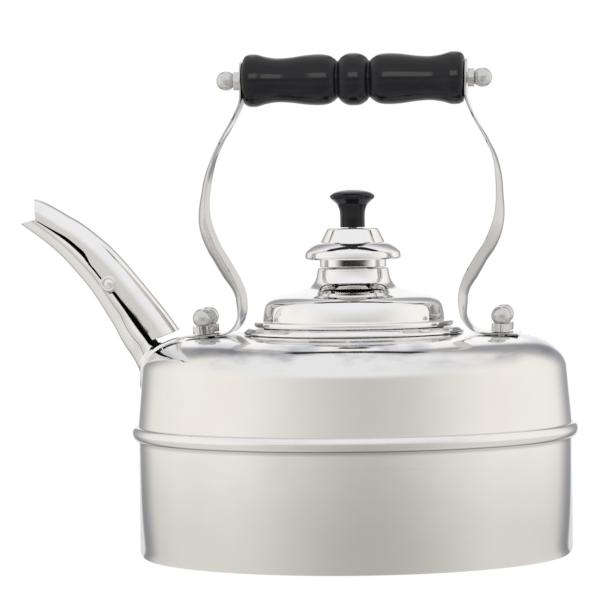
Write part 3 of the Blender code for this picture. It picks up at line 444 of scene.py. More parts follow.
@dataclass
class Finishes:
    """Every finish on the kettle, made once."""

    body: bpy.types.Material = field(default_factory=lambda: PolishedBody().make())
    chrome: bpy.types.Material = field(default_factory=lambda: BrightChrome().make())
    hoop: bpy.types.Material = field(default_factory=lambda: BrightChrome(
        "hoop_chrome", (0.86, 0.85, 0.84), 0.05, joint_height=SEAM_HEIGHT).make())
    # painted shade: straps and nuts wear the same bright chrome, given a darker plate colour so that they
    # read as shaded
    strap: bpy.types.Material = field(
        default_factory=lambda: BrightChrome("strap_chrome", (0.66, 0.65, 0.64), 0.05, 0.0001).make())
    nut: bpy.types.Material = field(
        default_factory=lambda: BrightChrome("nut_chrome", (0.64, 0.64, 0.635), 0.07, 0.00012).make())
    grip: bpy.types.Material = field(default_factory=lambda: BlackLacquer().make())
    knob: bpy.types.Material = field(
        default_factory=lambda: BlackLacquer("knob_lacquer", grain=(420.0, 420.0, 60.0)).make())
    steel: bpy.types.Material = field(default_factory=lambda: PlainSteel().make())
    # painted shade: near-black steel for the sheets that darken the spout's bore and the cover's underside
    inside: bpy.types.Material = field(default_factory=lambda: PlainSteel(
        "painted_shade_inside", (0.055, 0.050, 0.046), (0.030, 0.028, 0.026), 0.40).make())
    rubber: bpy.types.Material = field(default_factory=lambda: SealRubber().make())


def smooth_path(points: Sequence[Point], count: int) -> list[Vector]:
    """Walk a smooth curve through plan points at even steps.

    Args:
        points: the points that the curve goes through.
        count: how many points come back.

    Returns:
        Points at even steps, the ends included.
    """
    dense: list[Vector] = []
    last = len(points) - 1
    for index in range(last):
        before = Vector(points[max(index - 1, 0)])
        start = Vector(points[index])
        end = Vector(points[index + 1])
        after = Vector(points[min(index + 2, last)])
        for step in range(24):
            t = step / 24
            dense.append(0.5 * (
                2 * start + (end - before) * t
                + (2 * before - 5 * start + 4 * end - after) * t ** 2
                + (3 * start - before - 3 * end + after) * t ** 3))
    dense.append(Vector(points[-1]))
    lengths = [0.0]
    for first, second in zip(dense, dense[1:]):
        lengths.append(lengths[-1] + (second - first).length)
    spaced: list[Vector] = []
    place = 0
    for number in range(count):
        goal = lengths[-1] * number / (count - 1)
        while place < len(dense) - 2 and lengths[place + 1] < goal:
            place += 1
        part = (goal - lengths[place]) / (lengths[place + 1] - lengths[place])
        spaced.append(dense[place].lerp(dense[place + 1], part))
    return spaced


def side_directions(path: Sequence[Vector]) -> list[Vector]:
    """The unit direction to the left of travel at each point of a plan path."""
    sides = []
    for index in range(len(path)):
        ahead = path[min(index + 1, len(path) - 1)] - path[max(index - 1, 0)]
        sides.append(Vector((-ahead.y, ahead.x)).normalized())
    return sides


def share_between(table: Sequence[Sequence[float]], place: float, column: int = 1) -> float:
    """Read a table at a place, eased between its rows.

    Args:
        table: rows that start with their place.
        place: where to read.
        column: which column to read.

    Returns:
        The value there.
    """
    for low, high in zip(table, table[1:]):
        if place <= high[0]:
            part = (place - low[0]) / (high[0] - low[0])
            eased = part * part * (3 - 2 * part)
            return low[column] + (high[column] - low[column]) * eased
    return table[-1][column]


def rounded(corners: Sequence[tuple[float, ...]], steps: int = 6) -> list[Point]:
    """Round the corners of an outline, with a point close by each so that flats stay flat.

    Args:
        corners: plan points, each with an optional third number, the reach of its rounding.
        steps: how many stretches each rounding has.

    Returns:
        The outline's points.
    """
    outline: list[Point] = []
    for index, corner in enumerate(corners):
        here = Vector(corner[:2])
        reach = corner[2] if len(corner) > 2 else 0.0
        if reach <= 0 or index in (0, len(corners) - 1):
            outline.append(tuple(here))
            continue
        back = Vector(corners[index - 1][:2]) - here
        ahead = Vector(corners[index + 1][:2]) - here
        start = here + back.normalized() * min(reach, back.length * 0.5)
        end = here + ahead.normalized() * min(reach, ahead.length * 0.5)
        if back.length > reach * 2.4:
            outline.append(tuple(start + back.normalized() * reach * 0.12))
        for step in range(steps + 1):
            t = step / steps
            bend = start * (1 - t) ** 2 + here * 2 * t * (1 - t) + end * t ** 2
            outline.append(tuple(bend))
        if ahead.length > reach * 2.4:
            outline.append(tuple(end + ahead.normalized() * reach * 0.12))
    return outline


def inner_side(line: Sequence[Point], wall: float) -> list[Point]:
    """The inner side of a sheet whose outer line runs from top to bottom, turned about Z."""
    inner = []
    for index, (across, height) in enumerate(line):
        normals = []
        for first, second in ((index - 1, index), (index, index + 1)):
            if first >= 0 and second < len(line):
                along = Vector(line[second]) - Vector(line[first])
                if along.length > 1e-9:
                    normals.append(Vector((along.y, -along.x)).normalized())
        middle = sum(normals, Vector((0.0, 0.0))).normalized()
        reach = wall / max(middle.dot(normals[0]), 0.6)
        inner.append((across + middle.x * reach, height + middle.y * reach))
    return inner


class Maker:
    """Turns point lists into finished pieces of the kettle."""

    @staticmethod
    def piece(
        name: str, points: Sequence[Sequence[float]], faces: Sequence[Sequence[int]],
        finish: bpy.types.Material, body: Body, slot: Slot, replaces: Sequence[str] = (),
        sharp: float = 34.0,
    ) -> bpy.types.Object:
        """Make one piece and tell the frame what it stands for.

        Args:
            name: the piece's name.
            points: its corners.
            faces: its faces, as numbers of corners.
            finish: its material.
            body: the body that it rides on.
            slot: the record's slot; not used.
            replaces: the frame's nodes that it stands for.
            sharp: edges that turn by more degrees than this stay crisp.

        Returns:
            The new object.
        """
        mesh = bpy.data.meshes.new(name)
        mesh.from_pydata([tuple(point) for point in points], [], [tuple(face) for face in faces])
        shape = bmesh.new()
        shape.from_mesh(mesh)
        bmesh.ops.remove_doubles(shape, verts=shape.verts, dist=1e-6)
        bmesh.ops.recalc_face_normals(shape, faces=shape.faces)
        shape.to_mesh(mesh)
        shape.free()
        mesh.shade_smooth()
        mesh.set_sharp_from_angle(angle=math.radians(sharp))
        mesh.materials.append(finish)
        item = bpy.data.objects.new(name, mesh)
        bpy.context.scene.collection.objects.link(item)
        Maker.settle(item, body, slot, replaces)
        return item

    @staticmethod
    def settle(
        item: bpy.types.Object, body: Body, slot: Slot, replaces: Sequence[str] = (),
    ) -> None:
        """Tell the frame where an object rides and which nodes it stands for."""
        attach(item, body.value)
        if replaces:
            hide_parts(*replaces)

    @staticmethod
    def turned(
        name: str, profile: Sequence[Point], finish: bpy.types.Material, body: Body, slot: Slot,
        replaces: Sequence[str] = (), steps: int = 160, closed: bool = True, turn: Matrix | None = None,
        sharp: float = 34.0,
    ) -> bpy.types.Object:
        """A piece turned about Z.

        Args:
            name: the piece's name.
            profile: radius and height of each point of its outline.
            finish: its material.
            body: the body that it rides on.
            slot: the record's slot; not used.
            replaces: the frame's nodes that it stands for.
            steps: how many points go round.
            closed: whether the outline's last point joins its first.
            turn: how the finished shape is turned and placed.
            sharp: edges that turn by more degrees than this stay crisp.

        Returns:
            The new object.
        """
        points: list[Vector] = []
        for across, height in profile:
            for step in range(steps):
                angle = FULL_TURN * step / steps
                points.append(Vector((across * math.cos(angle), across * math.sin(angle), height)))
        faces = []
        rows = len(profile) if closed else len(profile) - 1
        for row in range(rows):
            after = (row + 1) % len(profile)
            for step in range(steps):
                beside = (step + 1) % steps
                faces.append((
                    row * steps + step, row * steps + beside, after * steps + beside, after * steps + step))
        if turn is not None:
            points = [turn @ point for point in points]
        return Maker.piece(name, points, faces, finish, body, slot, replaces, sharp)

    @staticmethod
    def lofted(
        name: str, rings: Sequence[Sequence[Sequence[float]]], finish: bpy.types.Material, body: Body,
        slot: Slot, replaces: Sequence[str] = (), looped: bool = False, sharp: float = 34.0,
    ) -> bpy.types.Object:
        """A body drawn through rings of equal count.

        Args:
            name: the piece's name.
            rings: the rings, each a list of points.
            finish: its material.
            body: the body that it rides on.
            slot: the record's slot; not used.
            replaces: the frame's nodes that it stands for.
            looped: whether the last ring joins the first instead of both being capped.
            sharp: edges that turn by more degrees than this stay crisp.

        Returns:
            The new object.
        """
        points, faces = Maker.shell(rings, looped)
        return Maker.piece(name, points, faces, finish, body, slot, replaces, sharp)

    @staticmethod
    def shell(
        rings: Sequence[Sequence[Sequence[float]]], looped: bool = False, first: int = 0,
    ) -> tuple[list, list]:
        """The points and faces of a skin drawn through rings.

        Args:
            rings: rings of equal count.
            looped: whether the last ring joins the first instead of both being capped.
            first: the number that the skin's first point gets.

        Returns:
            The points and the faces.
        """
        count = len(rings[0])
        points = [point for ring in rings for point in ring]
        faces = []
        for row in range(len(rings) if looped else len(rings) - 1):
            after = (row + 1) % len(rings)
            for column in range(count):
                beside = (column + 1) % count
                faces.append((
                    row * count + column, row * count + beside, after * count + beside,
                    after * count + column))
        if not looped:
            faces.append(tuple(range(count)))
            faces.append(tuple(range(len(points) - count, len(points))))
        return points, [tuple(number + first for number in face) for face in faces]


@dataclass
class Drum:
    """The kettle's body: the lower drum, the upper shell and the hoop round their seam."""

    finishes: Finishes
    radius: float = 0.1001
    wall: float = 0.0010
    base_round: float = 0.0038
    seam_height: float = SEAM_HEIGHT
    hoop_height: float = 0.0067
    hoop_reach: float = 0.0030
    upper_radius: float = 0.1005
    upper_taper: float = 0.0024
    shoulder_height: float = 0.0855
    top_height: float = 0.1026
    plate_seat_radius: float = 0.0515
    plate_fall: float = 0.0012
    shoulder_width: float = 0.0241
    shoulder_fullness: float = 2.05
    opening_radius: float = 0.0425
    seam_gap: float = 0.0004
    hoop_bite: float = 0.0002
    hoop_steps: int = 20
    steps: int = 256

    def build(self) -> None:
        """Build the three pieces."""
        self.lower()
        self.upper()
        self.hoop()

    def lower(self) -> bpy.types.Object:
        """The drawn pot under the seam."""
        inside = self.radius - self.wall
        outer = rounded([
            (self.radius, self.seam_height - self.seam_gap), (self.radius, 0.0, self.base_round),
            (0.0, 0.0),
        ], 12)
        inner = [(0.0, self.wall)] + list(reversed(rounded([
            (inside, self.seam_height - self.seam_gap),
            (inside, self.wall, self.base_round - self.wall), (0.0, self.wall),
        ], 8)))[1:]
        return Maker.turned(
            "drum_lower", outer + inner, self.finishes.body, Body.KETTLE, Slot.BODY,
            ["lower_drum"], self.steps)

    @property
    def top_flat_radius(self) -> float:
        """Where the sloping plate turns into the shoulder."""
        return self.upper_radius - self.upper_taper - self.shoulder_width

    @property
    def plate_slope(self) -> float:
        """How far the plate falls for each length outward."""
        return self.plate_fall / (self.top_flat_radius - self.plate_seat_radius)

    def plate_height(self, across: float) -> float:
        """The sloping plate's height at a distance from the middle."""
        return self.top_height - (across - self.plate_seat_radius) * self.plate_slope

    def shoulder(self, count: int = 36) -> list[Point]:
        """The shell's outer line from its sloping plate down to the straight wall."""
        fall = self.plate_slope * self.shoulder_width
        rise = self.top_height - self.plate_fall - self.shoulder_height - fall
        power = 2 / self.shoulder_fullness
        points = []
        for number in range(count):
            angle = math.pi / 2 * (1 - number / (count - 1))
            across = abs(math.cos(angle)) ** power if number else 0.0
            up = abs(math.sin(angle)) ** power if number < count - 1 else 0.0
            height = self.shoulder_height + rise * up + fall * (1 - across)
            points.append((self.top_flat_radius + self.shoulder_width * across, height))
        return [(self.plate_seat_radius, self.top_height)] + points

    def upper(self) -> bpy.types.Object:
        """The shouldered upper shell with its opening."""
        sheet = [(self.opening_radius, self.top_height)] + self.shoulder()
        sheet += [(self.upper_radius, self.seam_height + self.seam_gap)]
        profile = sheet + list(reversed(inner_side(sheet, self.wall)))
        return Maker.turned(
            "drum_upper", profile, self.finishes.body, Body.KETTLE, Slot.BODY, ["upper_shell"],
            self.steps)

    def hoop(self) -> bpy.types.Object:
        """The half-round hoop that grips the seam."""
        half = self.hoop_height / 2
        bore = self.radius - self.hoop_bite
        profile = [(bore, self.seam_height + half)]
        count = self.hoop_steps
        for number in range(count + 1):
            angle = math.pi / 2 - math.pi * number / count
            across = math.cos(angle) ** 0.75 * self.hoop_reach if 0 < number < count else 0.0
            profile.append((self.radius + across, self.seam_height + half * math.sin(angle)))
        profile.append((bore, self.seam_height - half))
        return Maker.turned(
            "seam_hoop", profile, self.finishes.hoop, Body.KETTLE, Slot.BODY, ["seam_bead"],
            self.steps, sharp=50.0)


@dataclass
class Lid:
    """The lid's collar, dome, sleeve, cap and knob."""

    finishes: Finishes
    collar_base: float = 0.1029
    collar_height: float = 0.0027
    collar_base_radius: float = 0.0509
    collar_top_radius: float = 0.0485
    collar_bore: float = 0.0416
    collar_wall: float = 0.0010
    spigot_depth: float = 0.0040
    rim_radius: float = 0.0460
    rim_height: float = 0.0026
    wall: float = 0.0009
    wall_radius: float = 0.0420
    step_height: float = 0.0029
    rise: float = 0.0271
    neck_radius: float = 0.0164
    screw_hole: float = 0.0023
    dome: Sequence[Point] = (
        (1.00, 0.000), (0.990, 0.105), (0.970, 0.220), (0.940, 0.310), (0.865, 0.390), (0.720, 0.463),
        (0.437, 0.537), (0.220, 0.610), (0.093, 0.690), (0.040, 0.770), (0.015, 0.860), (0.00, 0.970),
    )
    sleeve_radius: float = 0.01535
    sleeve_show: float = 0.0036
    sleeve_wall: float = 0.0030
    cap_height: float = 0.0144
    brim_radius: float = 0.0221
    crown_base_radius: float = 0.0143
    crown_top_radius: float = 0.0116
    brim: Sequence[Point] = (
        (0.94, 0.000), (1.00, 0.056), (0.99, 0.150), (0.94, 0.244), (0.69, 0.375), (0.35, 0.493),
        (0.06, 0.542),
    )
    knob_height: float = 0.0173
    stem_radius: float = 0.0057
    knob_radius: float = 0.0103
    knob_side: Sequence[Point] = (
        (0.00, 0.00), (0.00, 0.30), (0.06, 0.46), (0.26, 0.60), (0.60, 0.69), (0.93, 0.765),
        (1.00, 0.81), (0.97, 0.855),
    )
    knob_top: Sequence[Point] = ((0.78, 0.935), (0.42, 0.985), (0.00, 1.00))
    touch: float = 0.0003

    def build(self) -> None:
        """Build every piece from the collar up."""
        self.collar()
        self.dome_piece()
        self.sleeve_and_cap()
        self.knob()

    @property
    def lid_base(self) -> float:
        """The height of the lid's rolled rim."""
        return self.collar_base + self.collar_height + self.touch

    @property
    def neck_top(self) -> float:
        """The height of the neck's flat top."""
        return self.lid_base + self.rise

    @property
    def cap_base(self) -> float:
        """The height of the cap's brim."""
        return self.neck_top + self.touch + self.sleeve_show

    def collar(self) -> bpy.types.Object:
        """The sloping ring that the lid sits on."""
        top = self.collar_base + self.collar_height
        spigot = self.collar_base - self.spigot_depth
        outside = self.collar_bore + self.collar_wall
        profile = rounded([
            (self.collar_bore, top), (self.collar_top_radius, top, 0.0009),
            (self.collar_base_radius, self.collar_base + 0.0007, 0.0007),
            (self.collar_base_radius, self.collar_base),
            (outside, self.collar_base), (outside, spigot), (self.collar_bore, spigot),
        ])
        return Maker.turned(
            "lid_collar_ring", profile, self.finishes.chrome, Body.KETTLE, Slot.BRIGHT, ["lid_collar"])

    def dome_piece(self) -> bpy.types.Object:
        """The stepped dome with its rolled rim and its neck."""
        step = self.lid_base + self.step_height
        reach = self.wall_radius - self.neck_radius
        rise = self.neck_top - step
        upward = [(self.neck_radius + reach * across, step + rise * up) for across, up in self.dome]
        line = [(self.screw_hole, self.neck_top)]
        line += rounded([
            (self.screw_hole, self.neck_top), (self.neck_radius, self.neck_top, 0.0011),
            (self.neck_radius, self.neck_top - 0.003),
        ])[1:-1]
        line += [tuple(point) for point in smooth_path(list(reversed(upward)), 70)][1:]
        inner = list(reversed(inner_side(line, self.wall)))
        base = self.lid_base
        top = base + self.rim_height
        edge = self.rim_radius
        rim = rounded([
            line[-1], (self.wall_radius + 0.0002, top, 0.0003), (edge, top, 0.0011),
            (edge, base, 0.0011), (self.wall_radius - self.wall, base),
        ], 8)[1:]
        return Maker.turned(
            "lid_dome_shell", line + rim + inner, self.finishes.chrome, Body.LID, Slot.BRIGHT,
            ["lid_dome"])

    def sleeve_and_cap(self) -> None:
        """The bright sleeve and the brimmed cap on the neck."""
        swell = self.brim_radius - self.crown_base_radius
        upward = [
            (self.crown_base_radius + swell * across, self.cap_base + self.cap_height * up)
            for across, up in self.brim
        ]
        top = self.cap_base + self.cap_height
        crown_start = upward[-1]
        line = [(self.screw_hole, top)]
        line += rounded([
            (self.screw_hole, top), (self.crown_top_radius, top, 0.0010), crown_start,
        ])[1:-1]
        line += [tuple(point) for point in smooth_path(list(reversed(upward)), 40)]
        profile = line + list(reversed(inner_side(line, self.wall)))
        Maker.turned(
            "lid_cap_shell", profile, self.finishes.chrome, Body.LID, Slot.BRIGHT, ["lid_cap"])
        low = self.neck_top + self.touch
        seat = self.cap_base + self.cap_height * 0.493 - 0.0018
        bore = self.sleeve_radius - self.sleeve_wall
        sleeve = rounded([
            (bore, seat), (self.sleeve_radius, seat), (self.sleeve_radius, low, 0.0004), (bore, low),
        ])
        Maker.turned(
            "lid_sleeve_ring", sleeve, self.finishes.chrome, Body.LID, Slot.BRIGHT, ["lid_sleeve"])

    def knob(self) -> bpy.types.Object:
        """The lacquered knob: a waisted stem under a flared disc."""
        base = self.cap_base + self.cap_height + self.touch
        swell = self.knob_radius - self.stem_radius
        side = [
            (self.stem_radius + swell * across, base + self.knob_height * up)
            for across, up in self.knob_side
        ]
        top = [(self.knob_radius * across, base + self.knob_height * up) for across, up in self.knob_top]
        profile = [tuple(point) for point in smooth_path(side + top, 70)]
        return Maker.turned(
            "knob_turned", [(0.0, base)] + profile, self.finishes.knob, Body.LID, Slot.KNOB, ["knob"],
            96, closed=False, sharp=50.0)


@dataclass
class BallNut:
    """A hexagon nut with a ball on top, standing on a flat."""

    hex_height: float
    ball_radius: float
    corner_radius: float = 0.00485
    neck_share: float = 0.60
    chamfer: float = 0.00045
    around: int = 72
    ball_rings: int = 24

    def rings(self, turn: float) -> list[list[Place]]:
        """The nut's rings from its foot to the ball's top.

        Args:
            turn: how far the hexagon is turned, in degrees.

        Returns:
            Rings of equal count.
        """
        start = math.radians(turn)
        neck = self.ball_radius * self.neck_share
        drop = math.sqrt(self.ball_radius ** 2 - neck ** 2)
        centre = self.hex_height + drop
        half_cut = self.chamfer * 0.5
        rings = [
            self._hexagon(start, height, cut)
            for height, cut in (
                (0.0, self.chamfer), (half_cut, 0.0), (self.hex_height - half_cut, 0.0),
                (self.hex_height, self.chamfer),
            )
        ]
        rings.append(self._circle(start, neck * 1.12, self.hex_height))
        rings.append(self._circle(start, neck * 1.02, self.hex_height + 0.0003))
        low = math.acos(-drop / self.ball_radius)
        for number in range(1, self.ball_rings + 1):
            angle = low * (1 - number / (self.ball_rings + 0.4))
            across = self.ball_radius * math.sin(angle)
            rings.append(self._circle(start, across, centre + self.ball_radius * math.cos(angle)))
        return rings

    def _hexagon(self, start: float, height: float, cut: float) -> list[Place]:
        """Points round the hexagon, its corners drawn in by a chamfer."""
        ring = []
        flat = self.corner_radius * math.cos(math.pi / 6)
        for number in range(self.around):
            angle = FULL_TURN * number / self.around
            within = (angle + math.pi / 6) % (math.pi / 3) - math.pi / 6
            radius = min(flat / math.cos(math.pi / 6 - abs(within)), self.corner_radius * 0.985)
            radius = min(radius, self.corner_radius - cut)
            ring.append((radius * math.cos(angle + start), radius * math.sin(angle + start), height))
        return ring

    def _circle(self, start: float, radius: float, height: float) -> list[Place]:
        """Points round a circle."""
        angles = [FULL_TURN * number / self.around + start for number in range(self.around)]
        return [(radius * math.cos(angle), radius * math.sin(angle), height) for angle in angles]


@dataclass
class Handle:
    """The turned grip, the straps and their nuts."""

    finishes: Finishes
    drum: Drum
    height: float = 0.2199
    half_length: float = 0.0513
    shift: float = 0.0014
    radius: float = 0.0122
    turned_line: Sequence[Point] = (
        (0.000, 0.992), (0.060, 0.965), (0.110, 0.850), (0.142, 0.700), (0.170, 0.790), (0.220, 0.915),
        (0.300, 0.966), (0.420, 0.945), (0.560, 0.868), (0.685, 0.836), (0.790, 0.893), (0.885, 1.000),
        (0.950, 0.985), (0.985, 0.900), (1.000, 0.760),
    )
    strap_thickness: float = 0.0010
    strap_top_radius: float = 0.0088
    foot_tail: float = 0.0083
    foot_nut_inset: float = 0.0055
    foot_nut_y: float = 0.0120
    strap_width: float = 0.0340
    strap_dish: float = 0.0048
    left_line: Sequence[Point] = (
        (0.00, 1.00), (0.00, 0.925), (0.18, 0.855), (0.527, 0.760), (0.75, 0.680), (0.913, 0.560),
        (0.91, 0.460), (0.707, 0.365), (0.476, 0.300), (0.165, 0.210), (0.032, 0.140), (0.061, 0.065),
        (0.231, 0.018), (0.40, 0.0035), (0.56, 0.00), (0.80, 0.00),
    )
    right_line: Sequence[Point] = (
        (0.00, 1.00), (0.00, 0.925), (0.192, 0.855), (0.565, 0.760), (0.807, 0.680), (0.882, 0.560),
        (0.817, 0.460), (0.551, 0.365), (0.234, 0.300), (-0.129, 0.210), (-0.253, 0.140), (-0.20, 0.065),
        (0.057, 0.018), (0.22, 0.0035), (0.38, 0.00), (0.70, 0.00),
    )
    strap_form: Sequence[tuple[float, float, float]] = (
        (0.00, 0.50, 0.00), (0.12, 0.44, 0.00), (0.22, 0.40, 0.12), (0.36, 0.48, 0.45),
        (0.52, 0.60, 0.98), (0.64, 0.66, 1.00), (0.74, 0.72, 0.62), (0.84, 0.86, 0.15),
        (0.90, 1.00, 0.00), (1.00, 1.00, 0.00),
    )
    grip_nut: BallNut = field(default_factory=lambda: BallNut(0.0029, 0.0045))
    foot_nut: BallNut = field(default_factory=lambda: BallNut(0.0036, 0.0045))
    grip_nut_turns: Sequence[float] = (25.0, 30.0)
    foot_nut_turns: Sequence[float] = (-16.0, 8.0, 6.0, -10.0)
    touch: float = 0.0003
    rod_bore: float = 0.0027
    stations: int = 150
    rows: int = 18
    end_rings: int = 14
    round_end_share: float = 0.06

    def build(self) -> None:
        """Build grip, straps and nuts."""
        self.grip()
        for side in Side:
            self.strap(side)
            self.end_nut(side)
        self.foot_nuts()

    @property
    def foot_nut_x(self) -> float:
        """How far out from the middle the foot nuts stand."""
        return self.drum.top_flat_radius - self.foot_nut_inset

    def grip(self) -> bpy.types.Object:
        """The black turned grip, with its bead in the middle."""
        half = [(across * self.radius, along * self.half_length) for along, across in self.turned_line]
        whole = [(radius, -along) for radius, along in reversed(half[1:])] + half
        line = [(min(across, self.radius), along) for across, along in smooth_path(whole, 240)]
        profile = [(self.rod_bore, -self.half_length)] + line + [(self.rod_bore, self.half_length)]
        turn = Matrix.Translation((self.shift, 0.0, self.height)) @ Matrix.Rotation(math.pi / 2, 4, "Y")
        return Maker.turned(
            "grip_turned", profile, self.finishes.grip, Body.KETTLE, Slot.GRIP, ["handle_grip"], 96,
            turn=turn, sharp=60.0)

    def strap_section(self, place: Vector, out: Vector, width: float, dish: float) -> list[Place]:
        """One closed section across the strap, with eased edges.

        Args:
            place: the inner face's middle, in plan X and height.
            out: the direction away from the kettle's middle.
            width: the strap's width there.
            dish: how far the middle bows out.

        Returns:
            The section's points.
        """
        ring = []
        thick = self.strap_thickness
        for face in (1, 0):
            order = range(self.rows + 1) if face else range(self.rows, -1, -1)
            for row in order:
                across = 2 * row / self.rows - 1
                ease = thick * 0.30 * max(0.0, (abs(across) - 0.93) / 0.07)
                depth = (thick - ease if face else ease) + dish * (1 - across * across)
                point = place + out * depth
                ring.append((point.x, width / 2 * across, point.y))
        return ring

    def strap(self, side: Side) -> bpy.types.Object:
        """One S-curved sprung strap from the rod down to its flat foot."""
        top_x = self.half_length + self.touch + side.value * self.shift
        points = []
        for across, up in self.left_line if side is Side.LEFT else self.right_line:
            x = top_x + (self.foot_nut_x - top_x) * across
            low = self.drum.plate_height(x) + self.touch
            points.append((x, low + (self.height - low) * up))
        foot_end = self.foot_nut_x + self.foot_tail
        points.append((foot_end, self.drum.plate_height(foot_end) + self.touch))
        path = smooth_path(points, self.stations)
        rings = []
        for number in range(self.end_rings, 0, -1):
            lift = self.strap_top_radius * math.sin(math.pi / 2 * number / (self.end_rings + 0.35))
            width = 2 * math.sqrt(self.strap_top_radius ** 2 - lift ** 2)
            place = Vector((top_x, self.height + lift))
            rings.append(self.strap_section(place, Vector((1.0, 0.0)), width, 0.0))
        for number, (place, out) in enumerate(zip(path, side_directions(path))):
            share = number / (len(path) - 1)
            width = self.strap_width * share_between(self.strap_form, share)
            dish = self.strap_dish * share_between(self.strap_form, share, 2)
            if share < self.round_end_share:
                width = max(width, 2 * self.strap_top_radius)
            rings.append(self.strap_section(place, out, width, dish))
        mirrored = [[(side.value * x, side.value * y, z) for x, y, z in ring] for ring in rings]
        word = side.name.lower()
        return Maker.lofted(
            "strap_sprung_" + word, mirrored, self.finishes.strap, Body.KETTLE, Slot.STRAP,
            ["strap_" + word], sharp=40.0)

    def end_nut(self, side: Side) -> bpy.types.Object:
        """The ball nut on one end of the grip's rod."""
        turns = dict(zip(Side, self.grip_nut_turns))
        start = self.half_length + 2 * self.touch + self.strap_thickness
        turn = Matrix.Translation((self.shift + side.value * start, 0.0, self.height))
        turn = turn @ Matrix.Rotation(side.value * math.pi / 2, 4, "Y")
        rings = [[turn @ Vector(point) for point in ring] for ring in self.grip_nut.rings(turns[side])]
        word = side.name.lower()
        return Maker.lofted(
            "grip_ball_nut_" + word, rings, self.finishes.nut, Body.KETTLE, Slot.BRIGHT,
            ["grip_nut_" + word], sharp=28.0)

    def foot_nuts(self) -> None:
        """The four ball nuts on the strap feet."""
        seat = self.touch + self.strap_thickness + self.touch
        tilt = math.atan(self.drum.plate_slope)
        places = [(side, word, depth) for side in Side for word, depth in (("near", -1), ("far", 1))]
        for (side, word, depth), turn in zip(places, self.foot_nut_turns):
            spot = Matrix.Translation((
                side.value * self.foot_nut_x, depth * self.foot_nut_y,
                self.drum.plate_height(self.foot_nut_x)))
            spot = spot @ Matrix.Rotation(side.value * tilt, 4, "Y") @ Matrix.Translation((0.0, 0.0, seat))
            rings = [
                [spot @ Vector(point) for point in ring] for ring in self.foot_nut.rings(turn - 90.0)
            ]
            name = side.name.lower() + "_" + word
            Maker.lofted(
                "foot_ball_nut_" + name, rings, self.finishes.nut, Body.KETTLE, Slot.BRIGHT,
                ["foot_nut_" + name], sharp=28.0)


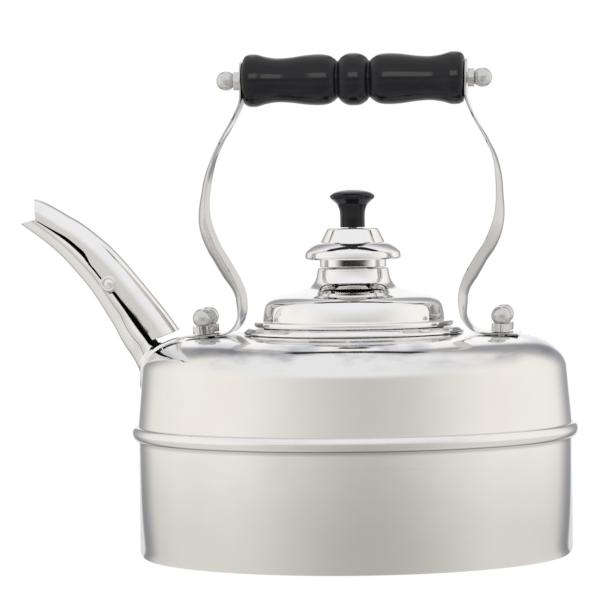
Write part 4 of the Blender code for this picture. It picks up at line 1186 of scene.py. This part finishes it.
@dataclass
class Spout:
    """The slim tube, the ring that joins it to the shoulder, and the rivets of its cover."""

    finishes: Finishes
    drum: Drum
    wall: float = 0.0009
    root_radius: float = 0.0082
    tip_radius: float = 0.0046
    root_inset: float = 0.0100
    root_drop: float = 0.0181
    path_points: Sequence[Point] = (
        (0.0, 0.0), (-0.0055, 0.0090), (-0.0123, 0.0186), (-0.0181, 0.0282), (-0.0246, 0.0380),
        (-0.0308, 0.0462), (-0.0367, 0.0529), (-0.0421, 0.0585), (-0.0500, 0.0652), (-0.0567, 0.0701),
    )
    taper: Sequence[Point] = ((0.00, 1.00), (0.18, 0.60), (0.36, 0.36), (0.60, 0.20), (1.00, 0.00))
    lip: Point = (-0.0648, 0.0703)
    mouth_slope: float = 16.0
    flange_width: float = 0.0035
    flange_inner_reach: float = 0.0073
    flange_height: float = 0.0012
    stations: int = 90
    around: int = 64
    joint_search: float = 0.6
    joint_halvings: int = 22
    steps_back: int = 40

    def build(self) -> None:
        """Build the tube, its dark skin of painted shade inside, and the ring at its root."""
        self.tube()
        self.bore()
        self.flange()

    @property
    def root(self) -> Vector:
        """Where the tube starts inside the shell, in X and height."""
        return Vector((self.root_inset - self.drum.upper_radius, self.drum.top_height - self.root_drop))

    def line(self, table: Sequence[Point], count: int) -> list[Vector]:
        """A smooth line in X and height, from places seen from the tube's root."""
        return smooth_path([tuple(self.root + Vector(place)) for place in table], count)

    def rings(self, grow: float) -> list[list[Place]]:
        """Rings along the tube; the last lies on the slanted mouth.

        Args:
            grow: how far outside the tube's own surface the rings lie.

        Returns:
            The rings from root to mouth.
        """
        path = self.line(self.path_points, self.stations)
        sides = side_directions(path)
        slope = math.radians(self.mouth_slope)
        normal = Vector((-math.sin(slope), math.cos(slope)))
        lip = self.root + Vector(self.lip)
        rings = []
        for number, (place, side) in enumerate(zip(path, sides)):
            radius = self.radius_at(number / (len(path) - 1)) + grow
            along = Vector((side.y, -side.x))
            ring = []
            for step in range(self.around):
                angle = FULL_TURN * step / self.around
                point = place + side * (radius * math.cos(angle))
                share = max(0.0, (number - (len(path) - 10)) / 9)
                if share > 0:
                    end = path[-1] + side * (radius * math.cos(angle))
                    reach = (lip - end).dot(normal) / along.dot(normal)
                    point = point + along * reach * share
                ring.append((point.x, radius * math.sin(angle), point.y))
            rings.append(ring)
        return rings

    def radius_at(self, share: float) -> float:
        """The tube's radius at a share of its path from the root."""
        taper = share_between(self.taper, share)
        return self.tip_radius + (self.root_radius - self.tip_radius) * taper

    def tube(self) -> bpy.types.Object:
        """The tube, open at both ends."""
        rings = self.rings(0.0) + list(reversed(self.rings(-self.wall)))
        return Maker.lofted(
            "spout_drawn_tube", rings, self.finishes.chrome, Body.KETTLE, Slot.BRIGHT, ["spout_tube"],
            looped=True, sharp=40.0)

    def bore(self) -> bpy.types.Object:
        """A dark sheet inside the tube that paints shade into its bore."""
        rings = self.rings(-self.wall - SHADE_SKIN_GAP)[:-1]
        thin = self.rings(-self.wall - SHADE_SKIN_DEPTH)[:-1]
        return Maker.lofted(
            "spout_bore_shade", rings + list(reversed(thin)), self.finishes.inside, Body.KETTLE, Slot.BRIGHT,
            looped=True, sharp=40.0)

    def off_shell(self, point: Vector) -> float:
        """How far a point lies off the shell's outer face, outside counting as positive."""
        spot = Vector((math.hypot(point.x, point.y), point.z))
        line = self.drum.shoulder() + [(self.drum.upper_radius, self.drum.seam_height)]
        best = (math.inf, 1.0)
        for first, second in zip(line, line[1:]):
            start = Vector(first)
            along = Vector(second) - start
            if along.length < 1e-9:
                continue
            share = min(max((spot - start).dot(along) / along.dot(along), 0.0), 1.0)
            away = spot - start - along * share
            sign = 1.0 if away.dot(Vector((-along.y, along.x))) > 0 else -1.0
            best = min(best, (away.length, sign))
        return best[0] * best[1]

    def ring_on_shell(self, grow: float, reach: float, lift: float) -> list[Vector]:
        """A closed line round the tube at a lift off the shell.

        Args:
            grow: how far outside the tube the line lies.
            reach: how much further out it lies on the side toward the lid.
            lift: its distance off the shell.

        Returns:
            The line's points.
        """
        path = self.line(self.path_points, 24)
        sides = side_directions(path)

        def spot(share: float, angle: float) -> Vector:
            """The point at a share of the path and an angle round it."""
            place = share * (len(path) - 1)
            low = min(int(place), len(path) - 2)
            middle = path[low].lerp(path[low + 1], place - low)
            side = sides[low].lerp(sides[low + 1], place - low).normalized()
            radius = self.radius_at(share) + grow
            inward = max(-math.cos(angle), 0.0)
            flat = middle + side * ((radius + reach * inward) * math.cos(angle))
            return Vector((flat.x, radius * math.sin(angle), flat.y))

        ring = []
        for step in range(self.around):
            angle = FULL_TURN * step / self.around
            low, high = 0.0, self.joint_search
            path_start = spot(low, angle)
            if self.off_shell(path_start) > lift:
                inward = spot(0.02, angle) - path_start
                points = [path_start - inward * number for number in range(self.steps_back)]
                ring.append(min(points, key=lambda p: abs(self.off_shell(p) - lift)))
                continue
            for _ in range(self.joint_halvings):
                middle = (low + high) / 2
                if self.off_shell(spot(middle, angle)) > lift:
                    high = middle
                else:
                    low = middle
            ring.append(spot(high, angle))
        return ring

    def flange(self) -> bpy.types.Object:
        """The raised ring that joins the tube to the shoulder."""
        width = self.flange_width
        reach = self.flange_inner_reach
        high = self.flange_height
        rings = [
            self.ring_on_shell(width, reach, -0.0002), self.ring_on_shell(width, reach, high * 0.55),
            self.ring_on_shell(width * 0.93, reach * 0.97, high * 0.92),
            self.ring_on_shell(width * 0.80, reach * 0.90, high),
            self.ring_on_shell(width * 0.38, reach * 0.45, high),
            self.ring_on_shell(width * 0.16, reach * 0.15, high * 1.25),
            self.ring_on_shell(0.00005, 0.0, high * 2.0),
            self.ring_on_shell(-0.0003, 0.0, -0.0002),
        ]
        return Maker.lofted(
            "spout_joint_ring", rings, self.finishes.chrome, Body.KETTLE, Slot.BRIGHT, ["spout_flange"],
            looped=True, sharp=60.0)


@dataclass
class Cover:
    """The channel that rocks over the spout, and the rivets that it rocks on."""

    finishes: Finishes
    spout: Spout
    wall: float = 0.0009
    rear_half_width: float = 0.0088
    nose_half_width: float = 0.0068
    pivot_offset: Point = (-0.0227, 0.0423)
    top_line: Sequence[Point] = (
        (-0.0579, 0.0822), (-0.0537, 0.0806), (-0.0480, 0.0775), (-0.0423, 0.0741), (-0.0367, 0.0708),
        (-0.0299, 0.0656), (-0.0231, 0.0597), (-0.0169, 0.0532), (-0.0107, 0.0458), (-0.0039, 0.0375),
        (0.0029, 0.0290), (0.0090, 0.0204),
    )
    nose_lean: float = 0.48
    rear_lean: float = 0.25
    lean_run: float = 0.0667
    depth: float = 0.0125
    depth_shares: Sequence[Point] = (
        (0.00, 0.76), (0.10, 0.72), (0.22, 0.70), (0.36, 0.73), (0.47, 0.94), (0.54, 0.98), (0.60, 0.93),
        (0.74, 0.94), (0.92, 0.95), (1.00, 0.96),
    )
    ear_radius: float = 0.0042
    ear_thickness: float = 0.0012
    head_radius: float = 0.0036
    head_height: float = 0.0014
    head_edge: float = 0.0003
    head_roll: float = 0.0006
    shank_radius: float = 0.0014
    shank_depth: float = 0.0030
    touch: float = 0.0003
    stations: int = 76
    rows: int = 32

    def build(self) -> None:
        """Build the channel, the dark sheet of painted shade under it and the rivets."""
        self.channel()
        self.shade_skin()
        for word, depth in (("near", -1), ("far", 1)):
            self.rivet(word, depth)

    @property
    def pivot(self) -> Vector:
        """The rivets' line, in X and height."""
        return self.spout.root + Vector(self.pivot_offset)

    def half_width(self, share: float) -> float:
        """Half of the channel's width at a share of its length from the nose."""
        return self.nose_half_width + (self.rear_half_width - self.nose_half_width) * share

    def section(self, half: float, depth: float) -> list[Point]:
        """An upside-down U: how far across and how far down."""
        crown = min(half, depth * 0.90)
        points = [(-half, depth)]
        for row in range(self.rows + 1):
            angle = math.pi * (1 - row / self.rows)
            points.append((half * math.cos(angle), crown * (1 - math.sin(angle))))
        points.append((half, depth))
        return points

    def skins(self, outer_inset: float, inner_inset: float) -> list[list[Place]]:
        """Closed rings along the channel between two insets from its outer face."""
        path = self.spout.line(self.top_line, self.stations)
        rings = []
        for number, (place, side) in enumerate(zip(path, side_directions(path))):
            share = number / (len(path) - 1)
            down = -side
            lean = self.nose_lean * max(0.0, 1 - share / self.lean_run)
            lean -= self.rear_lean * max(0.0, 1 - (1 - share) / self.lean_run)
            back = Vector((-down.y, down.x)) * lean
            half = self.half_width(share)
            depth = self.depth * share_between(self.depth_shares, share)
            ring = []
            outer = self.section(half - outer_inset, depth - outer_inset)
            inner = self.section(half - inner_inset, depth - inner_inset)
            for (across, lower), inset in (
                [(spot, outer_inset) for spot in outer] + [(spot, inner_inset) for spot in reversed(inner)]
            ):
                point = place + (down + back) * (lower + inset)
                ring.append((point.x, across, point.y))
            rings.append(ring)
        return rings

    def channel(self) -> bpy.types.Object:
        """The channel with its two round ears."""
        points, faces = Maker.shell(self.skins(0.0, self.wall))
        for depth in (-1, 1):
            face = self.half_width(0.5) - 0.00003
            profile = [
                (0.0, face), (self.ear_radius - 0.0003, face), (self.ear_radius, face - 0.0003),
                (self.ear_radius, face - self.ear_thickness), (0.0, face - self.ear_thickness),
            ]
            rings = [self.around_pivot(across, out * depth) for across, out in profile]
            more, skin = Maker.shell(rings, first=len(points))
            points += more
            faces += skin
        return Maker.piece(
            "spout_cover_channel", points, faces, self.finishes.chrome, Body.COVER, Slot.BRIGHT,
            ["spout_cover"], 40.0)

    def shade_skin(self) -> bpy.types.Object:
        """A dark sheet under the channel that paints shade into it."""
        return Maker.lofted(
            "spout_cover_shade_skin", self.skins(self.wall + SHADE_SKIN_GAP, self.wall + SHADE_SKIN_DEPTH),
            self.finishes.inside, Body.COVER, Slot.BRIGHT, sharp=40.0)

    def around_pivot(self, across: float, out: float) -> list[Place]:
        """A ring round the rivets' line."""
        count = 48
        return [(
            self.pivot.x + max(across, 0.00002) * math.cos(FULL_TURN * number / count), out,
            self.pivot.y + max(across, 0.00002) * math.sin(FULL_TURN * number / count),
        ) for number in range(count)]

    def rivet(self, word: str, depth: int) -> bpy.types.Object:
        """One rivet: a rolled ring round a low dome."""
        base = self.half_width(0.5) + self.touch
        head = self.head_radius
        edge = base + self.head_edge
        dome = self.head_height - self.head_edge
        roll = self.head_roll
        shank = self.shank_radius
        profile = [(shank, base - self.shank_depth), (shank, base), (head - 0.0002, base), (head, edge)]
        profile += [
            (head - roll + roll * math.cos(angle), edge + roll * math.sin(angle))
            for angle in (0.5, 1.0, 1.57, 2.1, 2.6)
        ]
        profile += [(head * 0.66, edge)]
        profile += [
            (head * 0.62 * math.cos(angle), edge + dome * math.sin(angle))
            for angle in (0.25, 0.5, 0.75, 1.0, 1.25, 1.5)
        ]
        rings = [self.around_pivot(across, out * depth) for across, out in profile]
        return Maker.lofted(
            "cover_rivet_" + word, rings, self.finishes.chrome, Body.KETTLE, Slot.BRIGHT,
            ["pivot_rivet_" + word], sharp=50.0)


@dataclass
class CarriedNodes:
    """The frame's own solids that stay, with finer finishes."""

    finishes: Finishes
    sealing: Sequence[str] = ("foot_washer",)

    def dress(self) -> None:
        """Give each shown solid of the frame its finish."""
        for name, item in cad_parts.items():
            if item.hide_render:
                continue
            finish = self.finishes.steel
            if any(name.startswith(word) for word in self.sealing):
                finish = self.finishes.rubber
            if not item.material_slots:
                item.data.materials.append(finish)
            for slot in item.material_slots:
                slot.link = "OBJECT"
                slot.material = finish


@dataclass
class Studio:
    """The white table and backdrop, and the plain room that metal shows."""

    camera_turn: float
    table_radius: float = 0.95
    table_sink: float = 0.0004
    table_steps: int = 96
    table_tone: Colour = (0.93, 0.93, 0.93)
    table_white: float = 1.08
    white_share: float = 0.86
    table_shadow_run: Point = (0.15, 0.95)
    table_shadow_near: float = 0.78
    table_shadow_lift: float = 0.20
    drum_setback: float = 0.05
    room: Colour = (0.65, 0.63, 0.60)
    panel: Colour = (1.0, 0.97, 0.93)
    flag: Colour = (0.38, 0.38, 0.40)
    background: Colour = (1.0, 1.0, 1.0)
    dark: Colour = (0.015, 0.015, 0.015)
    left_panel: float = -90.0
    right_panel: float = 100.0
    panel_core: float = 15.0
    panel_edge: float = 95.0
    flag_bearings: Point = (135.0, 160.0)
    background_bearings: Point = (166.0, 172.0)
    gap_bearings: Point = (30.0, 75.0)
    gap_drop: float = 0.016
    gap_heights: Point = (0.014, 0.018)
    ceiling: Colour = (0.92, 0.92, 0.94)
    ceiling_heights: Point = (0.38, 0.85)
    ceiling_lean: float = 0.35
    lamp_size: Point = (0.90, 0.46)
    lamp_place: Place = (0.10, -1.20, 0.66)
    lamp_aim: Place = (0.0, 0.0, 0.20)
    lamp_colour: Colour = (1.0, 0.95, 0.80)
    lamp_watts: float = 3.0

    def build(self) -> None:
        """Build the surround and the floor."""
        self.world()
        self.floor()

    def strip_lamp(self, pieces: Sequence[bpy.types.Object]) -> None:
        """Hang a weak strip lamp in front that lights only these lacquered pieces."""
        lamp = bpy.data.lights.new("strip_lamp", "AREA")
        lamp.shape = "RECTANGLE"
        lamp.size, lamp.size_y = self.lamp_size
        lamp.color = self.lamp_colour
        lamp.energy = self.lamp_watts
        item = bpy.data.objects.new("strip_lamp", lamp)
        bpy.context.scene.collection.objects.link(item)
        item.location = self.lamp_place
        toward = Vector(self.lamp_aim) - item.location
        item.rotation_euler = toward.to_track_quat("-Z", "Y").to_euler()
        shown = bpy.data.collections.new("strip_lamp_shows_in")
        for piece in pieces:
            shown.objects.link(piece)
        item.light_linking.receiver_collection = shown

    def walls(self, sheet: Sheet, bearing: Wire) -> Wire:
        """The room round the kettle: a soft panel and a grey flag at each side, white behind.

        Args:
            sheet: the node tree to add to.
            bearing: degrees round from the camera, between -180 and 180.

        Returns:
            The colour.
        """
        off_left = bearing.work("ABSOLUTE", bearing - self.left_panel)
        off_right = bearing.work("ABSOLUTE", bearing - self.right_panel)
        nearest = bearing.work("MINIMUM", off_left, off_right)
        lit = sheet.blend(nearest.ramp(self.panel_core, self.panel_edge), self.panel, self.room)
        off = bearing.work("ABSOLUTE", bearing)
        flagged = sheet.blend(off.ramp(*self.flag_bearings), lit, self.flag)
        return sheet.blend(off.ramp(*self.background_bearings), flagged, self.background)

    def bearing_of(self, sheet: Sheet, x: Wire, y: Wire) -> Wire:
        """Degrees round from the camera, between -180 and 180."""
        turns = x.work("ARCTAN2", x, y * -1.0) / FULL_TURN + (0.5 - self.camera_turn / 360.0)
        return (turns.work("FRACT", turns) - 0.5) * 360.0

    def seen_around(self, sheet: Sheet, direction: Wire) -> Wire:
        """The surround's colour towards a direction.

        Args:
            sheet: the node tree to add to.
            direction: the direction, away from the kettle.

        Returns:
            The colour that metal shows.
        """
        x, y, z = sheet.parts_of(direction)
        bearing = self.bearing_of(sheet, x, y)
        walls = self.walls(sheet, bearing)
        off = bearing.work("ABSOLUTE", bearing)
        height = z.work("ABSOLUTE", z + self.gap_drop)
        gap = (1 - off.ramp(*self.gap_bearings)) * (1 - height.ramp(*self.gap_heights))
        low = sheet.blend(gap, walls, self.dark)
        high = (z - y * self.ceiling_lean).ramp(*self.ceiling_heights)
        return sheet.blend(high, low, self.ceiling)

    def seen_on_table(self, sheet: Sheet) -> Wire:
        """The table's colour as metal shows it: the room's tones as painted light, with painted shadow
        darker near the drum.
        """
        x, y, _ = sheet.parts_of(sheet.object_place())
        away = x.work("SQRT", x * x + y * y)
        bearing = self.bearing_of(sheet, x, y) / (1.0 - self.drum_setback / away)
        bearing = bearing.work("MAXIMUM", bearing.work("MINIMUM", bearing, 180.0), -180.0)
        walls = self.walls(sheet, bearing)
        # painted shadow: the table's glow darkens towards the drum
        fall = self.table_shadow_near + away.ramp(*self.table_shadow_run) * self.table_shadow_lift
        return sheet.node("ShaderNodeVectorMath", {"operation": "SCALE"}, {0: walls, "Scale": fall})

    def world(self) -> None:
        """White to the eye, and the room to metal and to all light that falls on the kettle."""
        world = bpy.data.worlds.new("studio")
        bpy.context.scene.world = world
        sheet = Sheet(world)
        seen = self.seen_around(sheet, sheet.node("ShaderNodeTexCoord", output="Generated"))
        eye = sheet.node("ShaderNodeLightPath", output="Is Camera Ray")
        colour = sheet.blend(eye, seen, self.background)
        light = sheet.node("ShaderNodeBackground", None, {"Color": colour, "Strength": 1.0})
        sheet.node("ShaderNodeOutputWorld", None, {"Surface": light})

    def floor(self) -> bpy.types.Object:
        """A pale round table top that is white to the eye with a soft shadow, and the room's to metal."""
        mesh = bpy.data.meshes.new("table_top")
        points = [(0.0, 0.0, 0.0)]
        count = self.table_steps
        across = self.table_radius
        for number in range(count):
            angle = FULL_TURN * number / count
            points.append((across * math.cos(angle), across * math.sin(angle), 0.0))
        mesh.from_pydata(points, [], [(0, n + 1, (n + 1) % count + 1) for n in range(count)])
        item = bpy.data.objects.new("table_top", mesh)
        bpy.context.scene.collection.objects.link(item)
        item.location.z = -self.table_sink
        material = bpy.data.materials.new("white_table")
        sheet = Sheet(material)
        lit = sheet.node("ShaderNodeBsdfDiffuse", None, {"Color": (*self.table_tone, 1.0)})
        white = sheet.node("ShaderNodeEmission", None, {
            "Color": (*self.background, 1.0), "Strength": self.table_white})
        # painted light: to glossy rays the table glows with the room's tones and a painted shadow, not its
        # lit white
        mirror = sheet.node("ShaderNodeEmission", None, {
            "Color": self.seen_on_table(sheet), "Strength": 1.0})
        glossy = sheet.node("ShaderNodeLightPath", output="Is Glossy Ray")
        eye = sheet.node("ShaderNodeLightPath", output="Is Camera Ray")
        seen = sheet.node("ShaderNodeMixShader", None, {0: self.white_share, 1: lit, 2: white})
        first = sheet.node("ShaderNodeMixShader", None, {0: eye, 1: lit, 2: seen})
        last = sheet.node("ShaderNodeMixShader", None, {0: glossy, 1: first, 2: mirror})
        sheet.finish_with(last)
        mesh.materials.append(material)
        return item


@dataclass
class PhotoCamera:
    """A long lens at the photograph's angle."""

    turn: float = 5.5
    distance: float = 1.82
    eye_height: float = 0.1815
    pitch: float = 2.08
    yaw: float = 0.693
    roll: float = -0.75
    lens: float = 231.5
    sensor: float = 36.0

    def build(self) -> bpy.types.Object:
        """Place the camera and make it the scene's own."""
        turn = math.radians(self.turn)
        eye = Vector((
            math.sin(turn) * self.distance, -math.cos(turn) * self.distance, self.eye_height))
        bearing = math.radians(self.turn + self.yaw)
        flat = Vector((-math.sin(bearing), math.cos(bearing), 0.0))
        pitch = math.radians(self.pitch)
        ahead = flat * math.cos(pitch) - Vector((0.0, 0.0, 1.0)) * math.sin(pitch)
        right = ahead.cross(Vector((0.0, 0.0, 1.0))).normalized()
        above = right.cross(ahead)
        basis = Matrix((right, above, -ahead)).transposed()
        basis = basis @ Matrix.Rotation(math.radians(self.roll), 3, "Z")
        data = bpy.data.cameras.new("photo_camera")
        data.lens = self.lens
        data.sensor_width = self.sensor
        data.clip_start = 0.05
        item = bpy.data.objects.new("photo_camera", data)
        bpy.context.scene.collection.objects.link(item)
        item.matrix_world = Matrix.Translation(eye) @ basis.to_4x4()
        bpy.context.scene.camera = item
        return item


def main() -> None:
    """Dress the kettle and set up the studio."""
    logging.basicConfig(level=logging.INFO, format="%(name)s: %(message)s")
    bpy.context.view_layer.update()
    bpy.context.scene.view_settings.view_transform = "Standard"
    camera = PhotoCamera()
    camera.build()
    LOG.info("camera set")
    studio = Studio(camera.turn)
    studio.build()
    LOG.info("studio set")
    finishes = Finishes()
    drum = Drum(finishes)
    spout = Spout(finishes, drum)
    for part in (drum, Lid(finishes), Handle(finishes, drum), spout, Cover(finishes, spout)):
        part.build()
        LOG.info("%s built", type(part).__name__.lower())
    studio.strip_lamp([bpy.data.objects["grip_turned"], bpy.data.objects["knob_turned"]])
    CarriedNodes(finishes).dress()
    LOG.info("carried solids dressed")
    LOG.info("sizes written")


if __name__ == "__main__":
    main()
